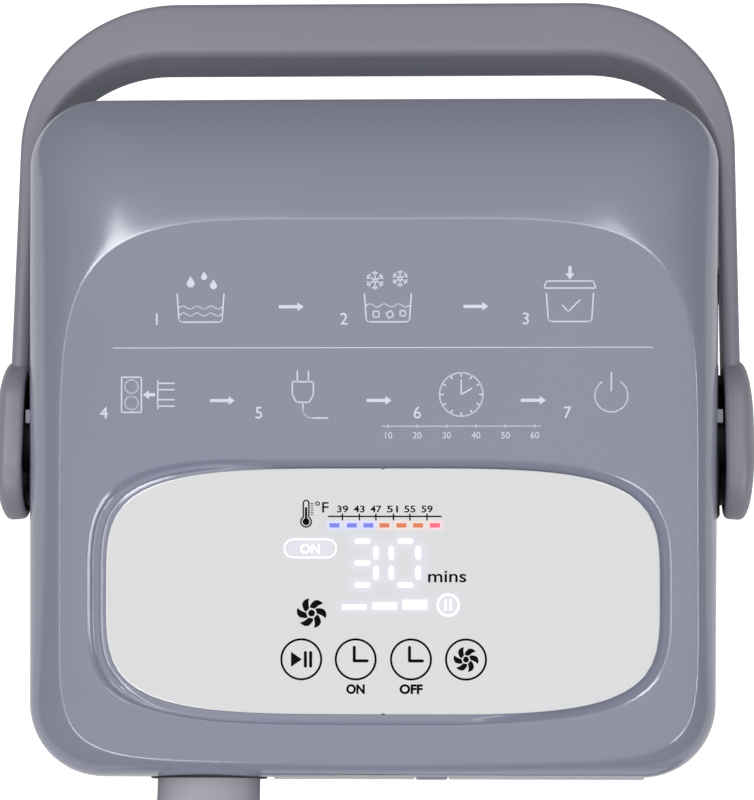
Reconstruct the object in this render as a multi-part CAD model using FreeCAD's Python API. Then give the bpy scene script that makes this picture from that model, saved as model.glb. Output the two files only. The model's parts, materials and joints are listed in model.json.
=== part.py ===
import FreeCAD, Part
import math
import os

# Hot and cold therapy machine: an insulated water tank, a lift-off lid that holds the pump and the
# controls, a carrying handle that folds to the rear, and an insulated hose with a quick connector.
# Millimetres. +Z is up, -Y is the front, the origin is on the floor under the middle of the tank.

Vec = FreeCAD.Vector
AXIS_X = Vec(1, 0, 0)
AXIS_Y = Vec(0, 1, 0)
AXIS_Z = Vec(0, 0, 1)
ORIGIN = Vec(0, 0, 0)

# ---------------------------------------------------------------- driving dimensions
# Outline of the machine seen from above, at the seam between tank and lid
body_width = 239.8        # across the pivots; the sides spread towards the rear
body_depth = 237.6
side_taper = 0.83         # degrees
corner_front = 25.5
corner_rear = 24.0
corner_least = 2.0        # a corner moved inwards never gets sharper than this

# Heights
foot_height = 5.0
band_z = 176.0            # above this the tank's side is upright, below it is drafted
tank_top_z = 197.4
seam_gap = 0.6            # open seam between tank and lid
tank_inset = 0.6          # the tank's side stands this far inside the lid's
tank_draft = 2.0          # degrees

# Tank walls
shell_wall = 2.5
insulation_thickness = 8.0
liner_wall = 2.0
liner_flange = 3.0
bottom_round = 8.0

# Clearances
fit_gap = 0.05            # a pin in its hole
seat_gap = 0.3            # a part in its seat
slide_gap = 0.5           # a part that lifts past another

# Feet
foot_radius = 10.0
foot_inset = 34.0         # from the tank's widest outline to the foot's axis
foot_recess_depth = 2.5
foot_screw_radius = 2.0
foot_screw_head_radius = 3.8
foot_screw_head_height = 1.8

# Water level window
window_x = -82.0
window_width = 11.0
window_low_z = 32.0
window_high_z = 160.0
window_lap = 2.0          # overlap of the window on the liner round its slot
window_gasket_width = 1.5

# Lid
lid_wall = 2.6
base_plate = 2.4          # thickness of the lid's floor
skirt_depth = 13.4
skirt_wall = 2.0
skirt_clearance = 1.2
facet_front_z = 224.0     # height of the sloping face, carried on to the lid's front
facet_slope = 5.5         # degrees
facet_apex_y = 69.8       # where the sloping face ends and the rear roll begins
shoulder_z = 205.0        # the lid's side is upright up to here
# Shape of the roll from the upright side to the sloping face, at the side, rear and front:
# how far it stays upright, how flat it arrives, and its slope where it arrives
roll_upright = (0.40, 0.60, 0.72)
roll_flat = (0.35, 0.40, 0.20)
roll_arrival = (0.88, 0.14, math.tan(math.radians(facet_slope)))
crest_x = 2.5             # middle of the sloping face's outline
crest_y = -40.0
crest_half_width = 108.8
crest_front = 74.0        # from crest_y to the outline's front end
crest_power_front = 7.5   # exponents of the outline's superellipse halves
crest_power_rear = 5.2
thumb_tab_x = 20.6
thumb_tab_width = 11.0
thumb_tab_low_z = 195.0
thumb_tab_high_z = 204.4
thumb_tab_gap = 0.3
thumb_tab_proud = 1.1

# Control panel, in the plane of the sloping face
panel_x = 4.2
panel_y = -56.5
panel_half_length = 94.4
panel_half_width = 41.9
panel_power = 4.1         # exponent of the superellipse
panel_thickness = 2.4
panel_sink = 0.6          # the panel's top lies this far under the sloping face
moat_side = 5.6           # width of the groove round the panel, at its ends
moat_edge = 4.2           # and along its long edges
moat_depth = 1.8
panel_ledge = 6.0
seat_depth = 6.2          # thickness of the lid under the panel's seat
board_drop = 7.8          # from the sloping face down to the display board
board_thickness = 1.6
display_board_length = 172.0
display_board_width = 70.0
board_screw_inset = 4.0
light_box_x = -2.5
light_box_y = 12.5
light_box_length = 70.0
light_box_width = 40.0
key_pitch = 18.7
key_x = 0.4
key_y = -23.1
key_count = 4
key_pad_radius = 4.0
digit_height = 15.0
digit_width = 7.6
digit_stroke = 1.6
digit_pitch = 14.6
digit_x = -0.4            # middle of the two digits
digit_y = 9.7

# Fasteners of the lid
lid_screw_radius = 1.5
lid_screw_head_radius = 3.1
lid_screw_head_height = 2.2
lid_screw_length = 14.0
lid_screw_rows = ((-96.0, 14.0), (30.0, 14.0), (96.0, 23.0))   # depth, and inset from the side
lid_post_radius = 4.4
lid_boss_height = 7.0
board_screw_radius = 1.1
board_screw_head_radius = 2.2
board_screw_head_height = 1.4
board_post_radius = 3.0
driver_post_height = 5.6

# Handle
pivot_z = 188.0
handle_reach = 163.5      # pivot axis to the outside of the crossbar
handle_depth = 24.0
handle_bar = 20.0
handle_arm = 6.8
handle_arm_gap = 2.1      # lid side to the arm's inner face
handle_corner = 56.0
handle_edge_round = 3.1
handle_droop = 10.0       # degrees below level when folded back
hub_length = 57.0
hub_width = 36.0
hub_gap = 4.6             # lid side to the hub's inner face
hub_thickness = 5.5
hub_web = 3.3
hub_cap_height = 4.2
hub_cap_round = 3.4

# Handle pivot
pin_radius = 4.0
pin_head_radius = 7.5
pin_head_height = 1.75
pin_inner_reach = 7.0     # the pin runs this far inside the tank's side
nut_radius = 6.2
nut_height = 4.0
plate_proud = 1.6
plate_length = 54.0
plate_low = 20.0          # plate below the pivot
plate_high = 9.0          # plate above the pivot
pivot_boss_radius = 11.5

# Lock: segments let into the hubs hook over lugs on the lid when the handle is upright
lug_y = 6.8
lug_length = 4.6
lug_low = 2.7             # above the lid's seam
lug_height = 3.2
lug_proud = 2.2
lug_seat = 1.5             # depth of a lug's root in the lid's wall
rib_inner = 19.8
rib_outer = 23.0
rib_depth = 3.1           # a segment stands this far out of the hub's inner face
rib_seat = 1.5            # and this deep in its groove
lock_rib_from = -15.0     # degrees from the arm's direction, towards the rear
lock_rib_to = 40.0
stop_rib_from = 151.0
stop_rib_to = 190.0
stop_from = 140.8
stop_to = 150.2

# Pump, axis along X, in the raised rear of the lid
pump_x = -30.0
pump_y = 71.0
pump_z = 218.0
volute_radius = 17.0
volute_length = 16.0
chamber_radius = 13.0
chamber_depth = 13.0
pump_cover_thickness = 2.5
port_radius = 4.0
barb_radius = 2.9
barb_bore = 1.9
barb_length = 9.0
outlet_drop = 12.5
seal_inner = 14.0
seal_width = 1.6
seal_depth = 1.2
pump_ear_radius = 3.0
pump_ear_circle = 18.4
pump_screw_radius = 1.2
pump_screw_head_radius = 2.2
motor_radius = 14.0
motor_wall = 1.5
motor_length = 44.0
motor_end_thickness = 3.0
rotor_radius = 10.5
rotor_length = 30.0
shaft_radius = 1.5
bush_radius = 3.0
impeller_radius = 11.0
impeller_disc = 1.5
impeller_vane_height = 4.5
impeller_vane_count = 6
impeller_hub_radius = 3.2
saddle_length = 24.0
saddle_width = 37.0
saddle_flange = 3.0

# Water lines
line_radius = 4.5
line_bore = 3.0
hose_line_pitch = 16.0    # between the two lines in the hose
suction_x = -64.0
strainer_radius = 12.0
strainer_height = 24.0
strainer_wall = 1.2
strainer_floor_gap = 3.0
strainer_slots = 10
grommet_radius = 8.0
return_x = -65.0
return_y = 14.0
return_drop = 12.0
probe_x = 66.0
probe_y = 78.0
probe_radius = 2.5
probe_length = 130.0
probe_hex_radius = 6.0

# Power inlet on the right side of the lid
jack_y = 52.0
jack_z = 207.6
jack_radius = 5.6
jack_bore = 2.85
jack_pin = 1.05
jack_length = 15.0
jack_bore_depth = 9.5
jack_flange_radius = 6.6
jack_flange = 1.6
jack_pad_radius = 9.0
jack_pad_depth = 3.4       # from the lid's side in to the pad's flat face
jack_nut_radius = 7.0
jack_nut_height = 2.4

# Driver board
driver_x = 68.0
driver_y = 14.0
driver_length = 64.0
driver_width = 48.0
lead_radius = 1.6

# Hose
hose_x = -57.0
hose_z = 194.0
hose_radius = 18.25
collar_radius = 20.4
collar_lip = 1.2
collar_lip_radius = 21.4
collar_inner_y = 15.8     # from the front of the lid back to the collar's inner end
tunnel_wall = 1.8
tunnel_length = 42.0
tunnel_clearance = 1.0    # from the cover's front wall

# Quick connector on the hose's end
sleeve_length = 24.0
sleeve_small_radius = 11.6
connector_length = 46.0
connector_width = 46.0
connector_height = 26.0
connector_round = 5.0
socket_radius = 5.5
socket_depth = 18.0
socket_pitch = 23.0
socket_seal_radius = 0.9
latch_length = 16.0
latch_width = 12.0
latch_proud = 2.6
latch_height = 6.0
latch_travel = 2.0
latch_well = 9.0
spring_coil_radius = 3.0
spring_wire_radius = 0.35
spring_turns = 4

# ---------------------------------------------------------------- derived sizes
half_width = body_width / 2
half_depth = body_depth / 2
lid_bottom_z = tank_top_z + seam_gap
base_top_z = lid_bottom_z + base_plate
shell_bottom_z = foot_height - foot_recess_depth
liner_inset = tank_inset + shell_wall + insulation_thickness
cavity_inset = liner_inset + liner_wall
liner_bottom_z = shell_bottom_z + shell_wall + insulation_thickness
cavity_bottom_z = liner_bottom_z + liner_wall
slope = math.radians(facet_slope)
tube_z = pump_z - outlet_drop
hub_inner_x = half_width + hub_gap
arm_inner_x = half_width + handle_arm_gap
arm_outer_x = arm_inner_x + handle_arm
hub_outer_x = hub_inner_x + hub_thickness
plate_outer_x = half_width - tank_inset + plate_proud
boss_outer_x = hub_inner_x - seat_gap
volute_back_x = pump_x + volute_length / 2
volute_front_x = pump_x - volute_length / 2
motor_back_x = volute_back_x + motor_length
segment_ranges = ((lock_rib_from, lock_rib_to), (stop_rib_from, stop_rib_to))


def side_x(y):
    """Half the width at a depth."""
    return half_width + y * math.tan(math.radians(side_taper))


def facet_z(y):
    """Height of the sloping face above a point."""
    return facet_front_z + (y + half_depth) * math.tan(slope)


apex_z = facet_z(facet_apex_y)


# ---------------------------------------------------------------- helpers
def save(name, shape):
    shape.exportStep("parts/" + name + ".step")


def block(x0, x1, y0, y1, z0, z1):
    return Part.makeBox(x1 - x0, y1 - y0, z1 - z0, Vec(x0, y0, z0))


def rod(radius, start, direction, length):
    return Part.makeCylinder(radius, length, start, direction)


def ring(outer, inner, start, direction, length):
    solid = rod(outer, start, direction, length)
    return solid.cut(rod(inner, start - direction, direction, length + 2))


def merge(first, *others):
    return first.fuse(list(others)).removeSplitter()


def compound(solids):
    return Part.makeCompound(solids)


def both_sides(shape):
    """The shape and its mirror image across the machine's middle plane."""
    return [shape, shape.mirror(ORIGIN, AXIS_X)]


def corner_rounds(inset):
    """Centre, radius, and first and last angle of the outline's four corners, moved inwards by inset."""
    lean = math.radians(side_taper)
    found = []
    for front, nominal in ((True, corner_front), (False, corner_rear)):
        radius = max(nominal - inset, corner_least)
        y = inset + radius - half_depth if front else half_depth - inset - radius
        x = (half_width * math.cos(lean) - inset - radius + y * math.sin(lean)) / math.cos(lean)
        found.append((x, y, radius))
    (fx, fy, fr), (rx, ry, rr) = found
    return [(fx, fy, fr, -90, -side_taper), (rx, ry, rr, -side_taper, 90),
            (-rx, ry, rr, 90, 180 + side_taper), (-fx, fy, fr, 180 + side_taper, 270)]


def round_point(corner, share, z=0.0):
    """A point on a corner's arc, share of the way from its first to its last angle."""
    cx, cy, radius, first, last = corner
    angle = math.radians(first + (last - first) * share)
    return Vec(cx + radius * math.cos(angle), cy + radius * math.sin(angle), z)


def outline(inset, z):
    """The machine's plan outline, moved inwards by inset."""
    corners = corner_rounds(inset)
    edges = []
    for number, corner in enumerate(corners):
        following = corners[(number + 1) % 4]
        ends = [round_point(corner, share, z) for share in (0.0, 0.5, 1.0)]
        edges.append(Part.Arc(ends[0], ends[1], ends[2]).toShape())
        edges.append(Part.LineSegment(ends[2], round_point(following, 0.0, z)).toShape())
    return Part.Wire(edges)


def outline_prism(inset, z0, z1):
    return Part.Face(outline(inset, z0)).extrude(Vec(0, 0, z1 - z0))


def outline_ring(outer_inset, inner_inset, z0, z1):
    outer = outline_prism(outer_inset, z0, z1)
    return outer.cut(outline_prism(inner_inset, z0 - 1, z1 + 1))


def tub(inset, z0, z1):
    """A solid with the tank's drafted side, moved inwards by inset."""
    draft = (band_z - z0) * math.tan(math.radians(tank_draft))
    lower = Part.makeLoft([outline(inset + draft, z0), outline(inset, band_z)], True, True)
    return lower.fuse(outline_prism(inset, band_z, z1)).removeSplitter()


def outline_points(inset):
    """Points along the machine's plan outline, moved inwards by inset."""
    corners = corner_rounds(inset)
    points = []
    for number, corner in enumerate(corners):
        for step in range(9):
            points.append(round_point(corner, step / 8))
        last = points[-1]
        goal = round_point(corners[(number + 1) % 4], 0.0)
        for step in range(1, 8):
            points.append(last + (goal - last) * (step / 8))
    return points


def lid_sections(inset):
    """Closed curves from the lid's upright side up to the outline of its sloping face."""
    levels = (0.0, 0.12, 0.26, 0.4, 0.55, 0.7, 0.85, 1.0)
    centre = Vec(crest_x, crest_y, 0)
    rows = [[] for level in levels]
    for base in outline_points(inset):
        ray = base - centre
        ray.normalize()
        behind = ray.y > 0
        reach_y = facet_apex_y - crest_y if behind else crest_front
        power = crest_power_rear if behind else crest_power_front
        along_x = abs(ray.x) / (crest_half_width - inset / 2)
        along_y = abs(ray.y) / (reach_y - inset / 2)
        crest = centre + ray * (along_x ** power + along_y ** power) ** (-1 / power)
        crest.z = facet_z(crest.y) - inset / math.cos(slope)
        rise = crest.z - shoulder_z
        across = Vec(crest.x - base.x, crest.y - base.y, 0)
        shares = (ray.x ** 2, ray.y ** 2 if behind else 0.0, 0.0 if behind else ray.y ** 2)
        upright = sum(share * value for share, value in zip(shares, roll_upright))
        flat = sum(share * value for share, value in zip(shares, roll_flat))
        arrival = sum(share * value for share, value in zip(shares, roll_arrival))
        late = 1 - arrival * (1 - flat) * across.Length / rise
        for row, t in zip(rows, levels):
            inwards = 3 * t * t * (1 - t) * flat + t ** 3
            upwards = 3 * t * (1 - t) ** 2 * upright + 3 * t * t * (1 - t) * late + t ** 3
            row.append(base + across * inwards + Vec(0, 0, shoulder_z + rise * upwards))
    wires = []
    for row in rows:
        curve = Part.BSplineCurve()
        curve.interpolate(Points=row, PeriodicFlag=True)
        wires.append(Part.Wire(curve.toShape()))
    return wires


def lid_block(inset, z0):
    """The lid's rolled form, moved inwards by inset, down to z0."""
    wires = lid_sections(inset)
    rolled = Part.makeLoft(wires, True, False)
    upright = Part.Face(wires[0]).extrude(Vec(0, 0, z0 - shoulder_z))
    return rolled.fuse(upright).removeSplitter()


def on_facet(shape):
    """Move a shape drawn on the ground plane onto the sloping face, under the panel's middle."""
    shape.Placement = FreeCAD.Placement(
        Vec(panel_x, panel_y, facet_z(panel_y)), FreeCAD.Rotation(AXIS_X, facet_slope))
    return shape


def panel_form(extra_x, extra_y, z0, z1):
    """A superellipse plate with the panel's outline, grown by the extras."""
    half_x = panel_half_length + extra_x
    half_y = panel_half_width + extra_y
    count = 48
    points = []
    for step in range(count):
        angle = 2 * math.pi * step / count
        c = math.cos(angle)
        s = math.sin(angle)
        reach = (abs(c) ** panel_power + abs(s) ** panel_power) ** (-1 / panel_power)
        points.append(Vec(half_x * reach * c, half_y * reach * s, z0))
    curve = Part.BSplineCurve()
    curve.interpolate(Points=points, PeriodicFlag=True)
    return Part.Face(Part.Wire(curve.toShape())).extrude(Vec(0, 0, z1 - z0))


def bent_path(points):
    """Straight runs joined by tangent arcs, with the arcs' radii."""
    edges = []
    radii = []
    start = points[0]
    for number in range(1, len(points) - 1):
        here = points[number]
        back = points[number - 1] - here
        ahead = points[number + 1] - here
        half_turn = (math.pi - back.getAngle(ahead)) / 2
        tangent = 0.45 * min(back.Length, ahead.Length)
        radius = tangent / math.tan(half_turn)
        radii.append(radius)
        back.normalize()
        ahead.normalize()
        first = here + back * tangent
        last = here + ahead * tangent
        inward = back + ahead
        inward.normalize()
        middle = here + inward * (radius / math.cos(half_turn) - radius)
        edges.append(Part.LineSegment(start, first).toShape())
        edges.append(Part.Arc(first, middle, last).toShape())
        start = last
    edges.append(Part.LineSegment(start, points[-1]).toShape())
    return Part.Wire(edges), radii


def tube(points, radius, bore=0.0):
    path, radii = bent_path(points)
    direction = points[1] - points[0]
    direction.normalize()
    section = Part.Wire(Part.makeCircle(radius, points[0], direction))
    solid = path.makePipeShell([section], True, False)
    if bore > 0:
        hole = Part.Wire(Part.makeCircle(bore, points[0], direction))
        solid = solid.cut(path.makePipeShell([hole], True, False))
    return solid, path, radii


def hex_prism(radius, start, direction, height):
    corners = []
    for step in range(7):
        angle = math.radians(60 * step)
        corners.append(Vec(radius * math.cos(angle), radius * math.sin(angle), 0))
    solid = Part.Face(Part.makePolygon(corners)).extrude(Vec(0, 0, height))
    solid.Placement = FreeCAD.Placement(start, FreeCAD.Rotation(AXIS_Z, direction))
    return solid


def screw(radius, head_radius, head_height, length, head_face, direction):
    """A round-headed screw: head_face is the underside of its head, direction its shank's."""
    head = rod(head_radius, head_face - direction * head_height, direction, head_height)
    slot = rod(radius * 0.6, head_face - direction * head_height, direction, head_height * 0.5)
    return head.cut(slot).fuse(rod(radius, head_face, direction, length)).removeSplitter()


# ---------------------------------------------------------------- hose notch
def notch(radius, y0, y1, z_top):
    """A U-shaped channel round the hose, open upwards to z_top."""
    lower = rod(radius, Vec(hose_x, y0, hose_z), AXIS_Y, y1 - y0)
    upper = block(hose_x - radius, hose_x + radius, y0, y1, hose_z, z_top)
    return lower.fuse(upper).removeSplitter()


notch_cut = notch(collar_radius + slide_gap, -half_depth - 10, -half_depth + 40, tank_top_z + 10)

# ---------------------------------------------------------------- tank
window_span = (window_x - window_width / 2, window_x + window_width / 2)


def window_prism(grow):
    return block(window_span[0] - grow, window_span[1] + grow, -half_depth - 10, -half_depth / 2,
                 window_low_z - grow, window_high_z + grow)


foot_places = []
for sign_x in (1, -1):
    for sign_y in (1, -1):
        foot_places.append(Vec(sign_x * (half_width - foot_inset), sign_y * (half_depth - foot_inset), 0))

pin_hole = rod(pin_radius + fit_gap, Vec(-half_width - 20, 0, pivot_z), AXIS_X, body_width + 40)
foot_screw_seat_z = foot_height - 2.0


def tank_shell():
    outer = tub(tank_inset, shell_bottom_z, tank_top_z - liner_flange)
    edges = [e for e in outer.Edges if all(abs(v.Z - shell_bottom_z) < 0.01 for v in e.Vertexes)]
    outer = outer.makeFillet(bottom_round, edges)
    inner = tub(tank_inset + shell_wall, shell_bottom_z + shell_wall, tank_top_z + 1)
    solid = outer.cut(inner)
    for place in foot_places:
        boss = rod(foot_radius + 2, place + AXIS_Z * shell_bottom_z, AXIS_Z, shell_wall + foot_recess_depth)
        recess = rod(foot_radius + seat_gap, place, AXIS_Z, shell_bottom_z + foot_recess_depth)
        hole = rod(foot_screw_radius + fit_gap, place, AXIS_Z, foot_height * 3)
        solid = solid.fuse(boss).cut(recess).cut(hole)
    return solid.cut(window_prism(window_gasket_width)).cut(notch_cut).cut(pin_hole)


def tank_liner():
    outer = tub(liner_inset, liner_bottom_z, tank_top_z)
    flange = outline_prism(tank_inset, tank_top_z - liner_flange, tank_top_z)
    inner = tub(cavity_inset, cavity_bottom_z, tank_top_z + 1)
    solid = outer.fuse(flange).cut(inner)
    return solid.cut(window_prism(-window_lap)).cut(notch_cut)


def insulation():
    floor_z = shell_bottom_z + shell_wall + foot_recess_depth + seat_gap
    outer = tub(tank_inset + shell_wall + seat_gap, floor_z, tank_top_z - liner_flange - seat_gap)
    inner = tub(liner_inset - seat_gap, liner_bottom_z - seat_gap, tank_top_z)
    solid = outer.cut(inner).cut(window_prism(window_gasket_width + seat_gap)).cut(notch_cut)
    nut_start = half_width - tank_inset - shell_wall - pin_inner_reach - seat_gap
    for pocket in both_sides(rod(nut_radius + seat_gap, Vec(nut_start, 0, pivot_z), AXIS_X, 20)):
        solid = solid.cut(pocket)
    for place in foot_places:
        solid = solid.cut(rod(foot_screw_radius + seat_gap, place, AXIS_Z, liner_bottom_z - seat_gap))
    return solid


def between_walls(prism, outer_inset, inner_inset):
    """The part of a prism that lies between two of the tank's drafted surfaces."""
    outer = tub(outer_inset, shell_bottom_z, tank_top_z)
    inner = tub(inner_inset, shell_bottom_z - 1, tank_top_z)
    return prism.common(outer).cut(inner)


def feet():
    solids = []
    for place in foot_places:
        pad = rod(foot_radius, place, AXIS_Z, foot_height)
        edge = [e for e in pad.Edges if e.Closed and abs(e.Vertexes[0].Z) < 0.01]
        pad = pad.makeFillet(1.2, edge)
        pad = pad.cut(rod(foot_screw_head_radius + seat_gap, place, AXIS_Z, foot_screw_seat_z))
        solids.append(pad.cut(rod(foot_screw_radius + fit_gap, place, AXIS_Z, foot_height)))
    return compound(solids)


def foot_screws():
    length = liner_bottom_z - seat_gap - foot_screw_seat_z - 1.0
    return compound([
        screw(foot_screw_radius, foot_screw_head_radius, foot_screw_head_height, length,
              place + AXIS_Z * foot_screw_seat_z, AXIS_Z) for place in foot_places])


# ---------------------------------------------------------------- handle pivots
def arc_rib(inner, outer, start_deg, end_deg, x0, depth):
    """A sector of a ring round the pivot. Degrees run from straight up towards the rear."""
    # a part cylinder along +X starts straight up and opens towards the front
    pie = Part.makeCylinder(outer, depth, Vec(x0, 0, pivot_z), AXIS_X, end_deg - start_deg)
    hole = Part.makeCylinder(inner, depth + 2, Vec(x0 - 1, 0, pivot_z), AXIS_X)
    solid = pie.cut(hole)
    solid.rotate(Vec(0, 0, pivot_z), AXIS_X, -end_deg)
    return solid


def pivot_plate():
    inside = block(half_width - 12, plate_outer_x, -plate_length / 2, plate_length / 2,
                   pivot_z - plate_low, pivot_z + plate_high)
    edges = [e for e in inside.Edges if abs(e.Vertexes[0].X - e.Vertexes[-1].X) > 1]
    plate = inside.makeFillet(7.0, edges).cut(tub(tank_inset, shell_bottom_z, tank_top_z + 5))
    boss = rod(pivot_boss_radius, Vec(plate_outer_x - 0.5, 0, pivot_z), AXIS_X,
               boss_outer_x - plate_outer_x + 0.5)
    stop = arc_rib(rib_inner, rib_outer, stop_from, stop_to, plate_outer_x - 0.5,
                   boss_outer_x - plate_outer_x + 0.5)
    return merge(plate, boss, stop).cut(pin_hole)


def pivot_pin():
    start = half_width - tank_inset - shell_wall - pin_inner_reach
    head_x = hub_inner_x + hub_web + fit_gap
    shank = rod(pin_radius, Vec(start, 0, pivot_z), AXIS_X, head_x - start)
    head = rod(pin_head_radius, Vec(head_x, 0, pivot_z), AXIS_X, pin_head_height)
    return shank.fuse(head).removeSplitter()


def pivot_nut():
    lean = nut_radius * math.tan(math.radians(side_taper))
    start = half_width - tank_inset - shell_wall - nut_height - lean
    nut = hex_prism(nut_radius, Vec(start, 0, pivot_z), AXIS_X, nut_height)
    return nut.cut(pin_hole)


# ---------------------------------------------------------------- handle
def handle_pose(shape):
    """Turn a shape drawn with the handle upright to the folded rest pose."""
    shape.rotate(Vec(0, 0, pivot_z), AXIS_X, -(90 + handle_droop))
    return shape


def bail_outline(x, top, radius):
    """Half of the bail's outline: up the arm, round the corner, to the middle."""
    centre = Vec(x - radius, 0, top - radius)
    corner = Part.Arc(centre + Vec(radius, 0, 0),
                      centre + Vec(radius * math.sqrt(0.5), 0, radius * math.sqrt(0.5)),
                      centre + Vec(0, 0, radius))
    return centre, corner


def hub_form(x0, x1, grow=0.0):
    """An upright stadium round the pivot."""
    radius = hub_width / 2 + grow
    reach = (hub_length - hub_width) / 2
    middle = block(x0, x1, -radius, radius, pivot_z - reach, pivot_z + reach)
    ends = [rod(radius, Vec(x0, 0, pivot_z + side * reach), AXIS_X, x1 - x0) for side in (1, -1)]
    return merge(middle, *ends)


def handle_bail():
    top = pivot_z + handle_reach
    inner_top = top - handle_bar
    inner_radius = max(handle_corner - handle_bar / 2, 5.0)
    oc, outer_corner = bail_outline(arm_outer_x, top, handle_corner)
    ic, inner_corner = bail_outline(arm_inner_x, inner_top, inner_radius)
    left_outer = outer_corner.toShape().mirror(ORIGIN, AXIS_X)
    left_inner = inner_corner.toShape().mirror(ORIGIN, AXIS_X)
    face_wire = Part.Wire(Part.__sortEdges__([
        Part.LineSegment(Vec(arm_outer_x, 0, pivot_z), Vec(arm_outer_x, 0, oc.z)).toShape(),
        outer_corner.toShape(),
        Part.LineSegment(Vec(oc.x, 0, top), Vec(-oc.x, 0, top)).toShape(),
        left_outer,
        Part.LineSegment(Vec(-arm_outer_x, 0, oc.z), Vec(-arm_outer_x, 0, pivot_z)).toShape(),
        Part.LineSegment(Vec(-arm_outer_x, 0, pivot_z), Vec(-arm_inner_x, 0, pivot_z)).toShape(),
        Part.LineSegment(Vec(-arm_inner_x, 0, pivot_z), Vec(-arm_inner_x, 0, ic.z)).toShape(),
        left_inner,
        Part.LineSegment(Vec(-ic.x, 0, inner_top), Vec(ic.x, 0, inner_top)).toShape(),
        inner_corner.toShape(),
        Part.LineSegment(Vec(arm_inner_x, 0, ic.z), Vec(arm_inner_x, 0, pivot_z)).toShape(),
        Part.LineSegment(Vec(arm_inner_x, 0, pivot_z), Vec(arm_outer_x, 0, pivot_z)).toShape(),
    ]))
    bail = Part.Face(face_wire).extrude(Vec(0, handle_depth, 0))
    bail.translate(Vec(0, -handle_depth / 2, 0))
    along = []
    for edge in bail.Edges:
        box = edge.BoundBox
        if box.YLength < 0.01 and box.ZMax > pivot_z + 1:
            along.append(edge)
    bail = bail.makeFillet(handle_edge_round, along)
    for hub_space in both_sides(hub_form(arm_inner_x - 5, hub_inner_x, 1.5)):
        bail = bail.cut(hub_space)
    for hub in both_sides(hub_form(hub_inner_x, hub_outer_x)):
        bail = bail.fuse(hub)
    lean = math.degrees(fit_gap / rib_inner)
    for first, last in segment_ranges:
        groove = arc_rib(rib_inner - fit_gap, rib_outer + fit_gap, first - lean, last + lean,
                         hub_inner_x - 1, 1 + rib_seat)
        for each in both_sides(groove):
            bail = bail.cut(each)
    well = rod(pin_head_radius + slide_gap, Vec(hub_inner_x + hub_web, 0, pivot_z), AXIS_X, 20)
    for each in both_sides(well):
        bail = bail.cut(each)
    return handle_pose(bail.cut(pin_hole).removeSplitter())


def lug_form(x_end, grow=0.0):
    """A lug with its root in the lid's wall, reaching out to x_end."""
    low = lid_bottom_z + lug_low
    return block(half_width - lug_seat - grow, x_end, lug_y - lug_length / 2 - grow,
                 lug_y + lug_length / 2 + grow, low - grow, low + lug_height + grow)


def lock_segments():
    solids = []
    for first, last in segment_ranges:
        segment = arc_rib(rib_inner, rib_outer, first, last, hub_inner_x - rib_depth, rib_depth + rib_seat)
        solids.extend(handle_pose(each) for each in both_sides(segment))
    return compound(solids)


def hub_cap():
    cap = hub_form(hub_outer_x, hub_outer_x + hub_cap_height)
    rim = [e for e in cap.Edges if e.BoundBox.XMin > hub_outer_x + hub_cap_height - 0.01]
    return handle_pose(cap.makeFillet(hub_cap_round, rim))


# ---------------------------------------------------------------- lid
lid_screw_places = []
for sign_x in (1, -1):
    for screw_y, screw_inset in lid_screw_rows:
        lid_screw_places.append(Vec(sign_x * (side_x(screw_y) - screw_inset), screw_y, 0))

board_screw_places = []
for sign_x in (1, -1):
    for sign_y in (1, -1):
        board_screw_places.append(Vec(sign_x * (display_board_length / 2 - board_screw_inset),
                                      sign_y * (display_board_width / 2 - board_screw_inset), 0))

key_places = [Vec(key_x + (n - (key_count - 1) / 2) * key_pitch, key_y, 0) for n in range(key_count)]
jack_axis = Vec(side_x(jack_y), jack_y, jack_z)
tunnel_end_y = -half_depth + tunnel_length
line_x = (hose_x + hose_line_pitch / 2, hose_x - hose_line_pitch / 2)
collar_cut = notch(collar_radius + seat_gap, -half_depth - 10, -half_depth + 20, lid_bottom_z)
hose_bore = rod(collar_radius + seat_gap, Vec(hose_x, -half_depth - 10, hose_z), AXIS_Y, tunnel_length + 8)


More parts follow.
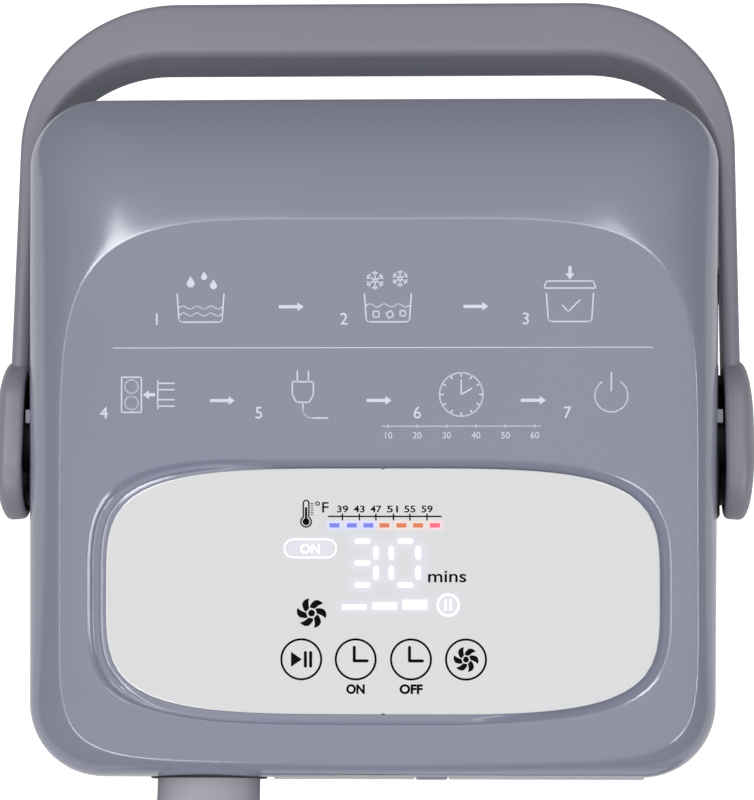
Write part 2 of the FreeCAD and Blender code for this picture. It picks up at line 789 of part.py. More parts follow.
def lid_cover():
    inner = lid_block(lid_wall, base_top_z - 5)
    solid = lid_block(0.0, base_top_z + 0.1).cut(inner)
    pad = on_facet(panel_form(moat_side + 2, moat_edge + 2, -seat_depth, -lid_wall / 2))
    solid = solid.fuse(pad)
    floor_z = base_top_z + lid_boss_height - base_plate
    for place in lid_screw_places:
        post = rod(lid_post_radius, place + AXIS_Z * floor_z, AXIS_Z, 60)
        solid = solid.fuse(post.common(lid_block(lid_wall / 2, base_top_z)))
    pad_face = jack_flange + jack_pad_depth
    pad = rod(jack_pad_radius, jack_axis - AXIS_X * pad_face, AXIS_X, pad_face)
    solid = solid.fuse(pad.common(lid_block(lid_wall / 2, base_top_z + 0.1)))
    for place in board_screw_places:
        solid = solid.fuse(on_facet(rod(board_post_radius, place - AXIS_Z * board_drop, AXIS_Z,
                                        board_drop - seat_depth + 1)))
    tab_y = -half_depth - thumb_tab_proud
    tab = block(thumb_tab_x - thumb_tab_width / 2, thumb_tab_x + thumb_tab_width / 2, tab_y,
                -half_depth + thumb_tab_gap, thumb_tab_low_z, thumb_tab_high_z)
    tab_edges = [e for e in tab.Edges if e.BoundBox.YMax < tab_y + 0.01]
    solid = solid.fuse(tab.makeFillet(0.8, tab_edges))
    for pocket in both_sides(lug_form(half_width + lug_proud, fit_gap)):
        solid = solid.cut(pocket)
    solid = solid.cut(on_facet(panel_form(moat_side, moat_edge, -moat_depth, 12)))
    solid = solid.cut(on_facet(panel_form(seat_gap, seat_gap, -panel_sink - panel_thickness, 12)))
    solid = solid.cut(on_facet(panel_form(-panel_ledge, -panel_ledge, -seat_depth - 1, 12)))
    for place in lid_screw_places:
        solid = solid.cut(rod(lid_screw_radius, place + AXIS_Z * (floor_z - 1), AXIS_Z,
                              lid_screw_length))
    for place in board_screw_places:
        solid = solid.cut(on_facet(rod(board_screw_radius, place - AXIS_Z * (board_drop + 1),
                                       AXIS_Z, 5.0)))
    solid = solid.cut(rod(collar_radius + seat_gap, Vec(hose_x, -half_depth - 10, hose_z), AXIS_Y, 20))
    solid = solid.cut(rod(jack_radius + fit_gap, jack_axis - AXIS_X * 20, AXIS_X, 30))
    solid = solid.cut(rod(jack_flange_radius + seat_gap, jack_axis - AXIS_X * jack_flange, AXIS_X, 20))
    return solid.removeSplitter()


def lid_base():
    solid = outline_prism(0.0, lid_bottom_z, base_top_z)
    tab_reach = thumb_tab_width / 2 + thumb_tab_gap
    solid = solid.cut(block(thumb_tab_x - tab_reach, thumb_tab_x + tab_reach, -half_depth - 1,
                            -half_depth + 2 * thumb_tab_gap, lid_bottom_z - 1, base_top_z + 1))
    skirt_inset = cavity_inset + skirt_clearance
    skirt_low = lid_bottom_z - skirt_depth
    solid = solid.fuse(outline_ring(skirt_inset, skirt_inset + skirt_wall, skirt_low, lid_bottom_z))
    solid = solid.fuse(outline_ring(lid_wall + seat_gap, lid_wall + seat_gap + 1.6, base_top_z,
                                    base_top_z + 3.0))
    rim_gap = block(half_width - 20, half_width + 1, jack_y - jack_pad_radius - slide_gap,
                    jack_y + jack_pad_radius + slide_gap, base_top_z, base_top_z + 10)
    solid = solid.cut(rim_gap)
    for place in lid_screw_places:
        low = place + AXIS_Z * lid_bottom_z
        solid = solid.fuse(rod(lid_post_radius, low, AXIS_Z, lid_boss_height))
    for place in driver_posts():
        solid = solid.fuse(rod(board_post_radius, place + AXIS_Z * base_top_z, AXIS_Z, driver_post_height))
    tunnel_outer = collar_radius + seat_gap + tunnel_wall
    tunnel_start = lid_wall + tunnel_clearance
    tunnel = rod(tunnel_outer, Vec(hose_x, -half_depth + tunnel_start, hose_z), AXIS_Y,
                 tunnel_length - tunnel_start)
    above = block(hose_x - 50, hose_x + 50, -half_depth, half_depth, lid_bottom_z, base_top_z + 60)
    solid = solid.fuse(tunnel.common(above))
    hollow = rod(collar_radius + seat_gap, Vec(hose_x, -half_depth - 10, hose_z), AXIS_Y,
                 tunnel_length + 10 - tunnel_wall)
    solid = solid.cut(hollow).cut(collar_cut)
    for x in line_x:
        solid = solid.cut(rod(line_radius + seat_gap, Vec(x, tunnel_end_y - 10, tube_z), AXIS_Y, 20))
    for place in lid_screw_places:
        head = rod(lid_screw_head_radius + seat_gap, place + AXIS_Z * (lid_bottom_z - 1), AXIS_Z,
                   1 + lid_screw_head_height + seat_gap)
        hole = rod(lid_screw_radius + fit_gap, place + AXIS_Z * lid_bottom_z, AXIS_Z, 20)
        solid = solid.cut(head).cut(hole)
    floor_low = lid_bottom_z - 1
    for place in driver_posts():
        solid = solid.cut(rod(board_screw_radius, place + AXIS_Z * (base_top_z + 1), AXIS_Z, 20))
    for place in saddle_screw_places:
        solid = solid.cut(rod(pump_screw_radius, place + AXIS_Z * floor_low, AXIS_Z, 20))
    grommet_hole = rod(grommet_radius - 2.0, Vec(suction_x, pump_y, floor_low), AXIS_Z, 20)
    return_hole = rod(line_radius + fit_gap, Vec(return_x, return_y, floor_low), AXIS_Z, 20)
    probe_hole = rod(probe_radius + 1.5 + fit_gap, Vec(probe_x, probe_y, floor_low), AXIS_Z, 20)
    return solid.cut(grommet_hole).cut(return_hole).cut(probe_hole).removeSplitter()


def lid_gasket():
    inset = cavity_inset + seat_gap
    inner = cavity_inset + skirt_clearance - fit_gap
    gasket = outline_ring(inset, inner, lid_bottom_z - 8.0, lid_bottom_z - 4.0)
    return gasket.cut(notch_cut)


def lid_screws():
    face_z = lid_bottom_z + lid_screw_head_height + seat_gap
    return compound([
        screw(lid_screw_radius, lid_screw_head_radius, lid_screw_head_height, lid_screw_length,
              place + AXIS_Z * face_z, AXIS_Z) for place in lid_screw_places])


# ---------------------------------------------------------------- control panel
def panel_lens():
    plate = panel_form(0.0, 0.0, -panel_sink - panel_thickness, -panel_sink)
    return on_facet(plate)


def display_board():
    board = block(-display_board_length / 2, display_board_length / 2, -display_board_width / 2,
                  display_board_width / 2, -board_drop - board_thickness, -board_drop)
    for place in board_screw_places:
        board = board.cut(rod(board_screw_radius + seat_gap, place - AXIS_Z * 20, AXIS_Z, 20))
    return on_facet(board)


def segment_slots(x, y, z0, z1):
    """The seven slots of one digit."""
    half_w = digit_width / 2
    half_h = digit_height / 2
    half_s = digit_stroke / 2
    slots = []
    for row in (-half_h, 0, half_h):
        slots.append(block(x - half_w + 1.6, x + half_w - 1.6, y + row - half_s, y + row + half_s, z0, z1))
    for column in (-half_w, half_w):
        for side in (0, 1):
            low = y - half_h + 1.2 + side * half_h
            slots.append(block(x + column - half_s, x + column + half_s, low, low + half_h - 2.4, z0, z1))
    return slots


def light_box():
    top = -panel_sink - panel_thickness
    box = block(light_box_x - light_box_length / 2, light_box_x + light_box_length / 2,
                light_box_y - light_box_width / 2, light_box_y + light_box_width / 2, -board_drop, top)
    for side in (-0.5, 0.5):
        for slot in segment_slots(digit_x + side * digit_pitch, digit_y, -board_drop - 1, top + 1):
            box = box.cut(slot)
    return on_facet(box)


def key_pads():
    top = -panel_sink - panel_thickness
    return compound([
        on_facet(rod(key_pad_radius, place - AXIS_Z * board_drop, AXIS_Z, board_drop + top))
        for place in key_places])


def board_screws():
    head_face = -board_drop - board_thickness
    return compound([
        on_facet(screw(board_screw_radius, board_screw_head_radius, board_screw_head_height, 5.0,
                       place + AXIS_Z * head_face, AXIS_Z)) for place in board_screw_places])


# ---------------------------------------------------------------- power and driver
def driver_posts():
    places = []
    for sx in (1, -1):
        for sy in (1, -1):
            places.append(Vec(driver_x + sx * (driver_length / 2 - 4), driver_y + sy * (driver_width / 2 - 4), 0))
    return places


driver_top_z = base_top_z + driver_post_height + board_thickness


def driver_board():
    low = driver_top_z - board_thickness
    board = block(driver_x - driver_length / 2, driver_x + driver_length / 2,
                  driver_y - driver_width / 2, driver_y + driver_width / 2, low, driver_top_z)
    pieces = [
        rod(4.0, Vec(driver_x - 14, driver_y + 10, driver_top_z - 0.1), AXIS_Z, 11),
        rod(4.0, Vec(driver_x - 4, driver_y + 10, driver_top_z - 0.1), AXIS_Z, 11),
        block(driver_x + 6, driver_x + 18, driver_y + 2, driver_y + 14, driver_top_z - 0.1, driver_top_z + 6),
        block(driver_x - 12, driver_x + 2, driver_y - 12, driver_y - 2, driver_top_z - 0.1, driver_top_z + 1.6),
    ]
    board = merge(board, *pieces)
    for place in driver_posts():
        board = board.cut(rod(board_screw_radius + seat_gap, place + AXIS_Z * (low - 1), AXIS_Z, 5))
    return board


def driver_screws():
    return compound([
        screw(board_screw_radius, board_screw_head_radius, board_screw_head_height, 5.0,
              place + AXIS_Z * driver_top_z, Vec(0, 0, -1)) for place in driver_posts()])


def dc_jack():
    body = rod(jack_radius, jack_axis - AXIS_X * jack_length, AXIS_X, jack_length)
    flange = rod(jack_flange_radius, jack_axis - AXIS_X * jack_flange, AXIS_X, jack_flange)
    bore = rod(jack_bore, jack_axis - AXIS_X * jack_bore_depth, AXIS_X, jack_bore_depth + 1)
    pin = rod(jack_pin, jack_axis - AXIS_X * (jack_bore_depth + 1), AXIS_X, jack_bore_depth)
    return merge(body, flange).cut(bore).fuse(pin).removeSplitter()


def jack_nut():
    start = jack_axis - AXIS_X * (jack_flange + jack_pad_depth + jack_nut_height)
    return ring(jack_nut_radius, jack_radius + fit_gap, start, AXIS_X, jack_nut_height)


# ---------------------------------------------------------------- pump
pump_axis = Vec(0, pump_y, pump_z)
pump_screw_places = []
for quarter in range(4):
    ear_angle = math.radians(45 + 90 * quarter)
    pump_screw_places.append(Vec(0, pump_y + pump_ear_circle * math.cos(ear_angle),
                                 pump_z + pump_ear_circle * math.sin(ear_angle)))
saddle_x = volute_back_x + motor_length * 0.45
saddle_screw_places = [Vec(saddle_x, pump_y + side * (saddle_width / 2 - 3.5), 0) for side in (1, -1)]


def at_x(x):
    return Vec(x, pump_y, pump_z)


def with_ears(disc, x0, x1):
    ears = [rod(pump_ear_radius, place + AXIS_X * x0, AXIS_X, x1 - x0) for place in pump_screw_places]
    return merge(disc, *ears)


def pump_housing():
    solid = with_ears(rod(volute_radius, at_x(volute_front_x), AXIS_X, volute_length),
                      volute_front_x, volute_back_x)
    outlet = Vec(pump_x, pump_y, tube_z)
    port = rod(port_radius, outlet - AXIS_Y * volute_radius, AXIS_Y, volute_radius)
    barb = rod(barb_radius, outlet - AXIS_Y * (volute_radius + barb_length), AXIS_Y, volute_radius)
    solid = merge(solid, port, barb)
    solid = solid.cut(rod(chamber_radius, at_x(volute_front_x - 1), AXIS_X, chamber_depth + 1))
    solid = solid.cut(rod(barb_bore, outlet - AXIS_Y * (volute_radius + barb_length + 1), AXIS_Y,
                          volute_radius + barb_length + 1))
    groove = ring(seal_inner + seal_width, seal_inner, at_x(volute_front_x - 1), AXIS_X, 1 + seal_depth)
    solid = solid.cut(groove)
    for place in pump_screw_places:
        solid = solid.cut(rod(pump_screw_radius, place + AXIS_X * (volute_front_x - 1), AXIS_X, 11))
    return solid.cut(rod(bush_radius, at_x(volute_front_x), AXIS_X, volute_length + 1))


def pump_cover():
    start = volute_front_x - pump_cover_thickness
    solid = with_ears(rod(volute_radius, at_x(start), AXIS_X, pump_cover_thickness), start, volute_front_x)
    barb = rod(barb_radius, at_x(start - barb_length), AXIS_X, barb_length + 1)
    solid = merge(solid, barb)
    for place in pump_screw_places:
        solid = solid.cut(rod(pump_screw_radius + fit_gap, place + AXIS_X * (start - 1), AXIS_X, 10))
    return solid.cut(rod(barb_bore, at_x(start - barb_length - 1), AXIS_X, 30))


def pump_seal():
    return ring(seal_inner + seal_width, seal_inner, at_x(volute_front_x), AXIS_X, seal_depth)


def pump_screws():
    start = volute_front_x - pump_cover_thickness
    return compound([
        screw(pump_screw_radius, pump_screw_head_radius, 1.4, pump_cover_thickness + 9.0,
              place + AXIS_X * start, AXIS_X) for place in pump_screw_places])


def impeller():
    hub_start = volute_front_x + 2.0
    disc_x = hub_start + impeller_vane_height
    hub = rod(impeller_hub_radius, at_x(hub_start), AXIS_X, impeller_vane_height + impeller_disc)
    disc = rod(impeller_radius, at_x(disc_x), AXIS_X, impeller_disc)
    vanes = []
    for number in range(impeller_vane_count):
        vane = block(hub_start + 0.4, disc_x + 0.2, pump_y - 0.6, pump_y + 0.6,
                     pump_z + impeller_hub_radius - 1, pump_z + impeller_radius)
        vane.rotate(pump_axis, AXIS_X, 360.0 * number / impeller_vane_count)
        vanes.append(vane)
    solid = merge(hub, disc, *vanes)
    return solid.cut(rod(shaft_radius, at_x(hub_start - 1), AXIS_X, 30))


def pump_shaft():
    start = volute_front_x + 2.5
    return rod(shaft_radius, at_x(start), AXIS_X, motor_back_x - 1.0 - start)


def motor_rotor():
    start = volute_back_x + (motor_length - rotor_length) / 2
    return ring(rotor_radius, shaft_radius, at_x(start), AXIS_X, rotor_length)


def shaft_bushes():
    length = volute_length - chamber_depth
    front = ring(bush_radius, shaft_radius + fit_gap, at_x(volute_back_x - length), AXIS_X, length)
    back = ring(bush_radius, shaft_radius + fit_gap, at_x(motor_back_x - motor_end_thickness), AXIS_X,
                motor_end_thickness)
    return compound([front, back])


def motor_can():
    length = motor_length - motor_end_thickness
    return ring(motor_radius, motor_radius - motor_wall, at_x(volute_back_x), AXIS_X, length)


def motor_end():
    solid = rod(motor_radius, at_x(motor_back_x - motor_end_thickness), AXIS_X, motor_end_thickness)
    return solid.cut(rod(bush_radius, at_x(motor_back_x - motor_end_thickness - 1), AXIS_X, 10))


def pump_saddle():
    top_z = pump_z - motor_radius * 0.5
    foot = block(saddle_x - saddle_length / 2, saddle_x + saddle_length / 2, pump_y - saddle_width / 2,
                 pump_y + saddle_width / 2, base_top_z, base_top_z + saddle_flange)
    web = block(saddle_x - saddle_length / 2, saddle_x + saddle_length / 2, pump_y - motor_radius * 0.85,
                pump_y + motor_radius * 0.85, base_top_z, top_z)
    solid = merge(foot, web).cut(rod(motor_radius + fit_gap, at_x(volute_back_x - 1), AXIS_X, 80))
    for place in saddle_screw_places:
        solid = solid.cut(rod(pump_screw_radius + fit_gap, place + AXIS_Z * (base_top_z - 1), AXIS_Z, 20))
    return solid


def saddle_screws():
    return compound([
        screw(pump_screw_radius, pump_screw_head_radius, 1.4, saddle_flange + base_plate,
              place + AXIS_Z * (base_top_z + saddle_flange), Vec(0, 0, -1))
        for place in saddle_screw_places])


# ---------------------------------------------------------------- water lines
collar_end_y = -half_depth + collar_inner_y


def hose_line(x, tail):
    """A line from the hose's inner end, up into the lid, and on along the given points."""
    start_z = hose_z + 5.0
    points = [
        Vec(x, collar_end_y, start_z),
        Vec(x, collar_end_y + 8, start_z),
        Vec(x, collar_end_y + 18, tube_z),
        Vec(x, tunnel_end_y + 12, tube_z),
    ]
    return tube(points + tail, line_radius, line_bore)[0]


def supply_line():
    outlet_y = pump_y - volute_radius - 1.0
    tail = [Vec(pump_x, -20, tube_z), Vec(pump_x, outlet_y, tube_z)]
    return hose_line(line_x[0], tail)


def return_line():
    path_end = return_y - line_radius
    return hose_line(line_x[1], [Vec(line_x[1] + 0.01, path_end, tube_z)])


def return_nozzle():
    top = Vec(return_x, return_y, tube_z)
    block_part = rod(line_radius, Vec(return_x, return_y, base_top_z), AXIS_Z, tube_z - base_top_z + 3)
    spout = rod(line_radius, Vec(return_x, return_y, lid_bottom_z - return_drop), AXIS_Z,
                return_drop + base_plate)
    collar = rod(line_radius + 2.5, Vec(return_x, return_y, base_top_z), AXIS_Z, 1.5)
    barb = rod(barb_radius, top - AXIS_Y * (line_radius + barb_length), AXIS_Y, barb_length + line_radius)
    solid = merge(block_part, spout, collar, barb)
    bore_down = rod(barb_bore + 0.6, Vec(return_x, return_y, lid_bottom_z - return_drop - 1), AXIS_Z,
                    return_drop + base_plate + tube_z - base_top_z + 1)
    bore_in = rod(barb_bore, top - AXIS_Y * (line_radius + barb_length + 1), AXIS_Y,
                  barb_length + line_radius + 1)
    return solid.cut(bore_down).cut(bore_in)


strainer_low_z = cavity_bottom_z + strainer_floor_gap


def suction_line():
    start_x = volute_front_x - pump_cover_thickness - 1.0
    points = [
        Vec(start_x, pump_y, pump_z),
        Vec(suction_x, pump_y, pump_z),
        Vec(suction_x, pump_y, strainer_low_z + strainer_height - 5),
    ]
    return tube(points, line_radius, line_bore)[0]


def suction_grommet():
    centre = Vec(suction_x, pump_y, 0)
    sleeve = ring(grommet_radius - 2.0, line_radius + fit_gap, centre + AXIS_Z * (lid_bottom_z - 1.5),
                  AXIS_Z, base_plate + 3.0)
    lips = [ring(grommet_radius, line_radius + fit_gap, centre + AXIS_Z * z, AXIS_Z, 1.5)
            for z in (lid_bottom_z - 1.5, base_top_z)]
    return merge(sleeve, *lips)


def strainer():
    foot = Vec(suction_x, pump_y, strainer_low_z)
    solid = rod(strainer_radius, foot, AXIS_Z, strainer_height)
    inside = rod(strainer_radius - strainer_wall, foot + AXIS_Z * strainer_wall, AXIS_Z,
                 strainer_height - 2 * strainer_wall - 2.0)
    solid = solid.cut(inside)
    for number in range(strainer_slots):
        slot = block(suction_x + strainer_radius - 3, suction_x + strainer_radius + 1, pump_y - 1,
                     pump_y + 1, strainer_low_z + 3, strainer_low_z + strainer_height - 8)
        slot.rotate(foot, AXIS_Z, 360.0 * number / strainer_slots)
        solid = solid.cut(slot)
    return solid.cut(rod(line_radius + fit_gap, foot + AXIS_Z * 5, AXIS_Z, strainer_height))


def temperature_probe():
    foot = Vec(probe_x, probe_y, 0)
    stem = rod(probe_radius, foot + AXIS_Z * (lid_bottom_z - probe_length), AXIS_Z, probe_length)
    thread = rod(probe_radius + 1.5, foot + AXIS_Z * (lid_bottom_z - 6), AXIS_Z, base_plate + 6)
    head = hex_prism(probe_hex_radius, foot + AXIS_Z * base_top_z, AXIS_Z, 4.0)
    return merge(stem, thread, head)


def probe_nut():
    foot = Vec(probe_x, probe_y, lid_bottom_z - 3.5)
    nut = hex_prism(probe_hex_radius, foot, AXIS_Z, 3.5)
    return nut.cut(rod(probe_radius + 1.5 + fit_gap, foot - AXIS_Z, AXIS_Z, 10))


# ---------------------------------------------------------------- wiring
def motor_lead():
    points = [
        Vec(motor_back_x, pump_y - 8, pump_z),
        Vec(motor_back_x + 10, pump_y - 8, pump_z),
        Vec(motor_back_x + 18, driver_y + driver_width / 2 - 2, driver_top_z + lead_radius + 3),
        Vec(driver_x - driver_length / 2 + 12, driver_y + driver_width / 2 - 12, driver_top_z + lead_radius),
    ]
    return tube(points, lead_radius)[0]


def jack_lead():
    inner = jack_axis - AXIS_X * jack_length
    points = [
        inner,
        inner - AXIS_X * 6,
        Vec(driver_x + driver_length / 2 - 8, driver_y + driver_width / 2 - 2, driver_top_z + lead_radius + 2),
        Vec(driver_x + driver_length / 2 - 16, driver_y + driver_width / 2 - 8, driver_top_z + lead_radius),
    ]
    return tube(points, lead_radius)[0]


# ---------------------------------------------------------------- hose
hose_route = [
    Vec(hose_x, collar_end_y, hose_z),
    Vec(hose_x, -186, hose_z),
    Vec(-89, -280, 155),
    Vec(-114, -334, 65),
    Vec(-117, -413, 18.4),
    Vec(-113, -511, 18.4),
    Vec(-52, -595, 18.4),
    Vec(54, -632, 18.4),
    Vec(168, -598, 18.4),
    Vec(246, -497, 18.4),
    Vec(253, -362, 18.4),
    Vec(196, -243, 18.4),
    Vec(85, -189, 18.4),
    Vec(4, -189, 18.4),
]
hose_end = hose_route[-1]


def hose_collar():
    front = -half_depth - collar_lip
    solid = notch(collar_radius, front, collar_end_y, lid_bottom_z - 0.1)
    solid = solid.fuse(rod(collar_radius, Vec(hose_x, front, hose_z), AXIS_Y, collar_end_y - front))
    lip = rod(collar_lip_radius, Vec(hose_x, front, hose_z), AXIS_Y, collar_lip - 0.4)
    solid = merge(solid, lip)
    return solid.cut(rod(hose_radius + fit_gap, Vec(hose_x, front - 1, hose_z), AXIS_Y, 40))


def hose_jacket():
    solid, path, radii = tube(hose_route, hose_radius)
    expected = math.pi * hose_radius ** 2 * path.Length
    print("hose length", round(path.Length, 1), "volume ratio", round(solid.Volume / expected, 4))
    print("hose radii", [round(radius) for radius in radii], "least", round(min(radii) / hose_radius / 2, 2))
    return solid


# ---------------------------------------------------------------- quick connector
sleeve_end_x = hose_end.x - sleeve_length
connector_face_x = sleeve_end_x - connector_length
latch_x = sleeve_end_x - connector_length * 0.55
socket_places = [Vec(connector_face_x, hose_end.y + side * socket_pitch / 2, hose_end.z) for side in (1, -1)]
connector_top_z = hose_end.z + connector_height / 2
latch_floor_z = connector_top_z - latch_well


def connector_sleeve():
    return Part.makeCone(hose_radius, sleeve_small_radius, sleeve_length, hose_end, Vec(-1, 0, 0))


def connector_body():
    solid = block(connector_face_x, sleeve_end_x, hose_end.y - connector_width / 2,
                  hose_end.y + connector_width / 2, hose_end.z - connector_height / 2, connector_top_z)
    solid = solid.makeFillet(connector_round, solid.Edges)
    for place in socket_places:
        solid = solid.cut(rod(socket_radius, place, AXIS_X, socket_depth))
        groove = rod(socket_radius + 2 * socket_seal_radius + 0.2, place + AXIS_X * 4, AXIS_X,
                     2 * socket_seal_radius + 0.2)
        solid = solid.cut(groove)
    well = block(latch_x - latch_length / 2 - seat_gap, latch_x + latch_length / 2 + seat_gap,
                 hose_end.y - latch_width / 2 - seat_gap, hose_end.y + latch_width / 2 + seat_gap,
                 latch_floor_z, connector_top_z + 1)
    return solid.cut(well)


def socket_seals():
    rings = []
    for place in socket_places:
        middle = place + AXIS_X * (4 + socket_seal_radius + 0.1)
        rings.append(Part.makeTorus(socket_radius + socket_seal_radius + 0.15, socket_seal_radius, middle,
                                    AXIS_X))
    return compound(rings)


def connector_latch():
    top = connector_top_z + latch_proud
    button = block(latch_x - latch_length / 2, latch_x + latch_length / 2, hose_end.y - latch_width / 2,
                   hose_end.y + latch_width / 2, top - latch_height, top)
    rim = [e for e in button.Edges if e.BoundBox.ZMin > top - 0.01]
    return button.makeFillet(1.2, rim)


def latch_spring():
    top = connector_top_z + latch_proud - latch_height
    height = top - latch_floor_z - 2 * spring_wire_radius
    helix = Part.makeHelix(height / spring_turns, height, spring_coil_radius)
    section = Part.Wire(Part.makeCircle(spring_wire_radius, Vec(spring_coil_radius, 0, 0), AXIS_Y))
    coil = Part.Wire(helix.Edges).makePipeShell([section], True, True)
    coil.translate(Vec(latch_x, hose_end.y, latch_floor_z + spring_wire_radius))
    return coil


# ---------------------------------------------------------------- write every sub-part
def main():
    os.makedirs("parts", exist_ok=True)
    window_inner = liner_inset
    save("tank_shell", tank_shell())
    save("tank_liner", tank_liner())
    save("tank_insulation", insulation())
    save("level_window", between_walls(window_prism(0.0), tank_inset, window_inner))
    gasket = between_walls(window_prism(window_gasket_width), tank_inset + 0.4, tank_inset + shell_wall)
    save("window_gasket", gasket.cut(window_prism(0.0)))
    save("feet", feet())
    save("foot_screws", foot_screws())
    save("pivot_plates", compound(both_sides(pivot_plate())))
    save("pivot_pins", compound(both_sides(pivot_pin())))
    save("pivot_nuts", compound(both_sides(pivot_nut())))
    save("handle_bail", handle_bail())
    save("lock_segments", lock_segments())
    save("hub_caps", compound(both_sides(hub_cap())))
    save("lid_cover", lid_cover())
    save("lock_lugs", compound(both_sides(lug_form(half_width + lug_proud))))
    save("lid_base", lid_base())
    save("lid_gasket", lid_gasket())
    save("lid_screws", lid_screws())
    save("panel_lens", panel_lens())
    save("display_board", display_board())
    save("light_box", light_box())
    save("key_pads", key_pads())
    save("board_screws", board_screws())
    save("driver_board", driver_board())
    save("driver_screws", driver_screws())
    save("dc_jack", dc_jack())
    save("jack_nut", jack_nut())
    save("jack_lead", jack_lead())
    save("motor_lead", motor_lead())
    save("pump_housing", pump_housing())
    save("pump_cover", pump_cover())
    save("pump_seal", pump_seal())
    save("pump_screws", pump_screws())
    save("impeller", impeller())
    save("pump_shaft", pump_shaft())
    save("motor_rotor", motor_rotor())
    save("shaft_bushes", shaft_bushes())
    save("motor_can", motor_can())
    save("motor_end", motor_end())
    save("pump_saddle", pump_saddle())
    save("saddle_screws", saddle_screws())
    save("supply_line", supply_line())
    save("return_line", return_line())
    save("return_nozzle", return_nozzle())
    save("suction_line", suction_line())
    save("suction_grommet", suction_grommet())
    save("strainer", strainer())
    save("temperature_probe", temperature_probe())
    save("probe_nut", probe_nut())
    save("hose_collar", hose_collar())
    save("hose_jacket", hose_jacket())
    save("connector_sleeve", connector_sleeve())
    save("connector_body", connector_body())
    save("socket_seals", socket_seals())
    save("connector_latch", connector_latch())
    save("latch_spring", latch_spring())


main()
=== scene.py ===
# %% [markdown]
# # A hot and cold therapy machine
# A moulded tank with a lift-off lid, a folding carrying handle, a sloping touch panel and a soft
# insulated hose. The solids of every part are loaded first, as a fixed frame. This lesson then
# dresses them. Parts whose shape is right keep their own mesh and only get a finish. The parts
# that catch the eye are modelled again, with smoother and richer forms, in the same place.

# %% Load the frame
import json
import math
import bmesh
import bpy
from mathutils import Matrix, Vector, noise


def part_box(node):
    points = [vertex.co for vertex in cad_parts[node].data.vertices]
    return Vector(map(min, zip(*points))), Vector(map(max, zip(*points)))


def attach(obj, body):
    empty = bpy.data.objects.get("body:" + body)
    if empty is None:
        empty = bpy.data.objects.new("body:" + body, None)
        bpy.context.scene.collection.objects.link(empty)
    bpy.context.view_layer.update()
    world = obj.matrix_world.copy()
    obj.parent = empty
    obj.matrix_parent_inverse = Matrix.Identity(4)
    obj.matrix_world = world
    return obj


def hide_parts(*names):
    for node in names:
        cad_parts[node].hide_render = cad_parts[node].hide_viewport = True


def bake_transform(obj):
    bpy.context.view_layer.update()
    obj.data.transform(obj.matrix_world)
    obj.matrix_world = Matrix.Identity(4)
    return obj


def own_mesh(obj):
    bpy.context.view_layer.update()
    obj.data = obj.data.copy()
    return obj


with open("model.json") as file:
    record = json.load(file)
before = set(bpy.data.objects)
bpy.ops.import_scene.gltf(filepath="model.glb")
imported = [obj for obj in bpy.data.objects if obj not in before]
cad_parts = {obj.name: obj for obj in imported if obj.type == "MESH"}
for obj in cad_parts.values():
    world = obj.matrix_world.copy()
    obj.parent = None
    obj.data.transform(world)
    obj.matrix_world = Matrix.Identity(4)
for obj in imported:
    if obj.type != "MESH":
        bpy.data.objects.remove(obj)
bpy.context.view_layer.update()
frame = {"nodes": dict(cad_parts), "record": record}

nodes = frame["nodes"]
scene = bpy.context.scene

# %% [markdown]
# ## Camera
# The machine is looked at from almost straight above, a little from the front. A long lens keeps
# its walls nearly upright in the render. The three axes of the camera are worked out from where
# it stands and what it looks at, and turned by a fifth of a degree. A track-to constraint could
# aim it too, but it would not hold that small turn.

# %% Camera
eye = Vector((0.0433, -0.1386, 1.3947))
aim = Vector((0.0014, 0.0123, 0.205))
forward = (aim - eye).normalized()
right = forward.cross(Vector((0, 1, 0))).normalized()
up = right.cross(forward)
roll = math.radians(-0.2)
camera_up = up * math.cos(roll) + right * math.sin(roll)
camera_right = right * math.cos(roll) - up * math.sin(roll)


def in_scene(name, data):
    """A new object in the scene, with its data."""
    made = bpy.data.objects.new(name, data)
    scene.collection.objects.link(made)
    return made


camera = in_scene("camera", bpy.data.cameras.new("camera"))
axes = Matrix((camera_right, camera_up, -forward)).transposed()
camera.matrix_world = Matrix.Translation(eye) @ axes.to_4x4()
camera.data.sensor_width = 36
camera.data.lens = 154.35
camera.data.clip_start = 0.05
scene.camera = camera
print("camera stands", round((aim - eye).length, 3), "m from the lid")

# %% [markdown]
# ## Light
# Satin plastic shows what stands round it. A wide key lamp in front and above gives even light and
# stays out of the shine, because its outline would lie across the sloping face. The smaller lamps
# round the machine do the opposite: they only draw the bright lines along the creases. One set of
# lamps for both jobs would burn out the pale parts.

# %% Lamps
LAMPS_AIM = Vector((0, 0, 0.15))


def soft_lamp(name, place, size, watts, fill=True, shine=True):
    """A rectangular lamp that faces the machine, for even light or for shine."""
    lamp = bpy.data.lights.new(name, "AREA")
    lamp.shape = "RECTANGLE"
    lamp.size, lamp.size_y = size
    lamp.energy = watts
    stand = in_scene(name, lamp)
    stand.location = place
    stand.rotation_euler = (LAMPS_AIM - Vector(place)).to_track_quat("-Z", "Y").to_euler()
    stand.visible_diffuse, stand.visible_glossy = fill, shine


